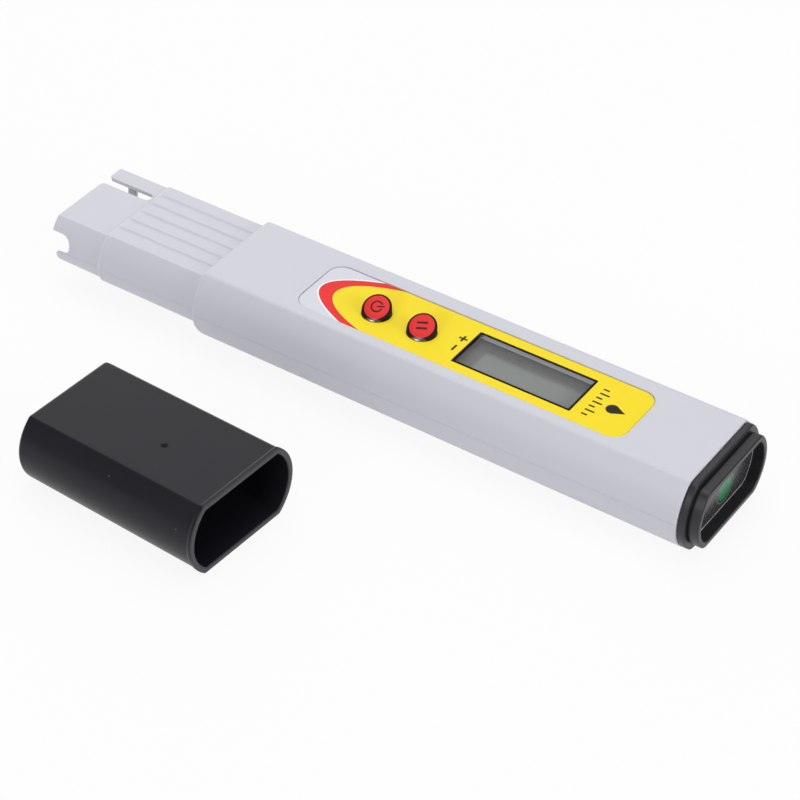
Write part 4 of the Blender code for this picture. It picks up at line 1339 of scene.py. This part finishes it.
def make_lid(material, film, backing):
    """The pull-off lid of the battery end, and the film in its recess."""
    recess = LID_COLLAR_INSET + LID_COLLAR_WALL
    floor = PEN_LENGTH - LID_RECESS
    stations = [
        (LID_PLUG_START, LID_PLUG_INSET + LID_EDGE),
        (LID_PLUG_START + LID_EDGE, LID_PLUG_INSET),
        (LID_GROOVE_START, LID_PLUG_INSET),
        (LID_GROOVE_START, LID_GROOVE_INSET),
        (LID_GROOVE_END, LID_GROOVE_INSET),
        (LID_GROOVE_END, LID_PLUG_INSET),
        (LID_FLANGE_START, LID_PLUG_INSET),
    ]
    stations += quarter_edge(LID_FLANGE_START, LID_FLANGE_INSET, LID_EDGE, 1)
    stations += quarter_edge(LID_FLANGE_END, LID_FLANGE_INSET, LID_EDGE, -1)
    stations += [(LID_FLANGE_END, LID_NECK_INSET), (LID_COLLAR_START, LID_NECK_INSET)]
    stations += quarter_edge(LID_COLLAR_START, LID_COLLAR_INSET, LID_EDGE, 1)
    stations += quarter_edge(PEN_LENGTH, LID_COLLAR_INSET, LID_EDGE, -1)
    stations += [(PEN_LENGTH, recess - LID_EDGE / 2), (PEN_LENGTH - LID_EDGE / 2, recess), (floor, recess)]

    def lid_part(name, places, inside):
        full = [(along(x), inset, 0.0, LID_DRAW) for x, inset in places]
        return smoothed(name, drawn(name, full, inside, LID_CREASE, 0.0))

    lid = lid_part("battery_lid", stations, material)
    piece("battery_lid", lid, "battery_cap", "black_plastic", "end_cap")
    start = floor + BACKING_GAP
    margin = recess + BACKING_MARGIN
    plate = [(start, margin), (start + BACKING_THICKNESS, margin)]
    piece("film_backing", lid_part("film_backing", plate, backing), "battery_cap", "dark_label")
    start += BACKING_THICKNESS
    margin = recess + FILM_MARGIN
    plate = [(start, margin), (start + FILM_THICKNESS, margin)]
    piece("lid_film", lid_part("lid_film", plate, film), "battery_cap", "dark_label", "end_label")


def make_cap(material):
    """The protective cap, lying taken off in front of the pen. It has a lip round its mouth."""
    mouth = CAP_MOUTH_INSET - CAP_LIP
    stations = quarter_edge(CAP_START, CAP_END_INSET, CAP_EDGE, 1)
    lip = CAP_LENGTH - CAP_LIP_LENGTH
    stations += smooth_step(lip, lip + CAP_LIP_LENGTH / 2, CAP_MOUTH_INSET, mouth, SOFT_STEPS)
    stations += quarter_edge(CAP_LENGTH, mouth, CAP_RIM, -1)
    stations += [
        (CAP_LENGTH, CAP_MOUTH_INSIDE - CAP_RIM),
        (CAP_LENGTH - CAP_RIM, CAP_MOUTH_INSIDE),
        (CAP_END_WALL + CAP_EDGE / 2, CAP_END_INSIDE),
        (CAP_END_WALL, CAP_END_INSIDE + CAP_EDGE / 2),
    ]
    cap = drawn("nose_cover", stations, material, CAP_CREASE, 0.0)
    slant = (CAP_MOUTH_INSET - CAP_END_INSET) / CAP_LENGTH
    top = BODY_HEIGHT - CAP_END_INSET - slant * GATE_PLACE[0]
    profile = []
    for i in range(GATE_STEPS + 1):
        angle = QUARTER * (1 - i / GATE_STEPS)
        share = max(GATE_LEAST, math.cos(angle))
        profile.append((GATE_RADIUS * share, top - GATE_DEPTH * math.sin(angle)))
    profile.append((GATE_RADIUS, top + PAST))
    gate = turned("gate_mark", GATE_PLACE, profile, material, steps=GATE_SIDES)
    cap = carved("nose_cover", cap, [gate])
    cap = smoothed("nose_cover", cap)
    rest = Matrix.Identity(4)
    rest[2][0] = (CAP_END_INSET - mouth) / CAP_LENGTH
    rest[2][3] = -CAP_END_INSET
    cap.transform(Matrix.Translation(CAP_PLACE) @ Matrix.Rotation(CAP_YAW, 4, "Z") @ rest)
    piece("nose_cover", cap, "nose_cap", "cap_plastic", "protective_cap")


def make_cells(can):
    """Four coin cells: a can with a rolled rim and a raised lid towards the nose."""
    profile = [
        *CELL_LID,
        *[(CELL_RADIUS - inset, depth) for inset, depth in CELL_ROLL],
        (CELL_RADIUS, CELL_RIM),
        (CELL_RADIUS, CELL_THICKNESS - CELL_RIM),
        (CELL_RADIUS - CELL_RIM, CELL_THICKNESS),
        (CELL_MIDDLE, CELL_THICKNESS),
    ]
    cell = turned("coin_cell", (0.0, MIDDLE_HEIGHT), profile, can, axis="X", steps=CELL_SIDES)
    sizes = {
        "Length": CELL_STEP,
        "Width": CELL_PITCH,
        "Columns": 2,
        "Rows": 2,
        "Place": (along(CELL_FRONT) + CELL_STEP / 2, 0.0, 0.0),
        "Material": can,
    }
    cells = smoothed("coin_cells", grown("coin_cells", grid_shape, cell, sizes))
    piece("coin_cells", cells, "pen", "steel", *[f"battery_cell_{i}" for i in range(1, 5)])


def make_bulkhead(material):
    """The seal that holds the electrode in the nose. It follows the nose's own inside."""
    margin = NOSE_INSET + NOSE_WALL + BULKHEAD_GAP
    end = BULKHEAD_START + BULKHEAD_LENGTH
    stations = [(along(x), margin, *underside(x)) for x in (BULKHEAD_START, end)]
    seal = drawn("nose_seal", stations, material, 0.0)
    hole = ELECTRODE_RADIUS + BULKHEAD_GAP
    profile = [(hole, along(BULKHEAD_START - PAST)), (hole, along(end + PAST))]
    bore = turned("nose_seal_bore", (0.0, MIDDLE_HEIGHT), profile, material, axis="X")
    seal = smoothed("nose_seal", carved("nose_seal", seal, [bore]), EDGE)
    piece("nose_seal", seal, "pen", "seal_rubber", "electrode_seal")


def dress_nodes(finishes):
    """Gives every CAD node that stays its own finish."""
    for part in frame["record"]["subparts"]:
        node = frame["nodes"][part["node"]]
        finish = finishes[part["material_slot"]]
        for slot in node.material_slots:
            slot.material = finish


def make_floor():
    """A wide pale floor: white to the camera and in reflections, and still taking the object's shadow."""
    finish = Finish("floor", Roughness=0.7, Specular_IOR_Level=0.0)
    faint = finish.noise(8.0, 2.0)
    finish.set(Base_Color=finish.mix(faint, grey(0.87), grey(0.89)))
    white = finish.node("ShaderNodeEmission", {}, {"Color": grey(1.0), "Strength": 1.0})
    seen = seen_rays(finish)
    sockets = {0: FLOOR_WHITE * seen, 1: Signal(finish, finish.shader.outputs[0]), 2: white}
    mixed = finish.node("ShaderNodeMixShader", {}, sockets)
    output = finish.tree.nodes["Material Output"]
    finish.feed(output.inputs["Surface"], mixed)
    mesh = bpy.data.meshes.new("floor")
    signs = ((-1, -1), (1, -1), (1, 1), (-1, 1))
    corners = [(x * FLOOR_HALF, y * FLOOR_HALF, FLOOR_HEIGHT) for x, y in signs]
    mesh.from_pydata(corners, [], [(0, 1, 2, 3)])
    mesh.materials.append(finish.material)
    linked("floor", mesh)


def seen_rays(tree):
    """1 for the rays of the camera, of reflections and of what is seen through glass."""
    outputs = tree.node("ShaderNodeLightPath").socket.node.outputs
    rays = [Signal(tree, outputs[f"Is {kind} Ray"]) for kind in ("Camera", "Glossy", "Transmission")]
    return tree.most(*rays)


def area_light(name, place, width, power):
    """A round light that faces the middle of the scene."""
    data = bpy.data.lights.new(name, "AREA")
    data.shape = "DISK"
    data.size = width
    data.energy = power
    made = linked(name, data)
    made.location = place
    made.rotation_euler = Vector(place).to_track_quat("Z", "Y").to_euler()


def make_studio():
    """Soft studio light, a pale surround and the camera."""
    scene = bpy.context.scene
    scene.view_settings.view_transform = "Standard"
    world = bpy.data.worlds.new("studio")
    world.use_nodes = True
    scene.world = world
    back = world.node_tree.nodes["Background"]
    back.inputs["Color"].default_value = grey(1.0)
    back.inputs["Strength"].default_value = SURROUND
    for light in LIGHTS:
        area_light(*light)
    data = bpy.data.cameras.new("camera")
    data.lens = LENS
    data.sensor_width = SENSOR_WIDTH
    camera = linked("camera", data)
    camera.location = CAMERA_PLACE
    camera.rotation_euler = [math.radians(angle) for angle in CAMERA_TURN]
    scene.camera = camera


casing = casing_finish()
black = lid_finish()
charcoal = cap_finish()
steel = metal("steel", (0.5, 0.49, 0.47, 1), (0.66, 0.65, 0.63, 1), 0.26, stretch=(1.0, 0.2, 0.2))
brass = metal("contact_brass", (0.62, 0.44, 0.17, 1), (0.78, 0.6, 0.3, 1), 0.3)
platinum = metal("platinum", (0.66, 0.65, 0.62, 1), (0.78, 0.77, 0.74, 1), 0.18)
label = label_finish()
film = film_finish()
lcd = lcd_finish()
window = window_finish()
finishes = {
    "shell_plastic": casing,
    "black_plastic": black,
    "cap_plastic": charcoal,
    "label_print": label,
    "dark_label": film,
    "red_button": simple("red_button", (0.7, 0.03, 0.03, 1), (0.8, 0.045, 0.04, 1), 0.42),
    "clear_window": window,
    "lcd_panel": lcd,
    "seal_rubber": rubber_finish(),
    "board_laminate": board_finish(),
    "black_epoxy": simple("black_epoxy", grey(0.008), grey(0.02), 0.22),
    "white_nylon": simple("white_nylon", (0.72, 0.72, 0.67, 1), (0.82, 0.82, 0.78, 1), 0.48),
    "steel": steel,
    "contact_brass": brass,
    "platinum": platinum,
    "electrode_glass": glass_finish(),
    "junction_plug": simple("junction_plug", (0.7, 0.67, 0.6, 1), (0.88, 0.86, 0.8, 1), 0.75, 900.0, 0.3),
    "wire_insulation": simple("wire_insulation", (0.5, 0.03, 0.025, 1), (0.64, 0.06, 0.045, 1), 0.42),
}
dress_nodes(finishes)
make_casing(casing)
make_label(label)
make_display(frame_finish())
make_keys()
make_lid(black, film, backing_finish())
make_cap(charcoal)
make_cells(steel)
make_bulkhead(finishes["seal_rubber"])
make_floor()
make_studio()
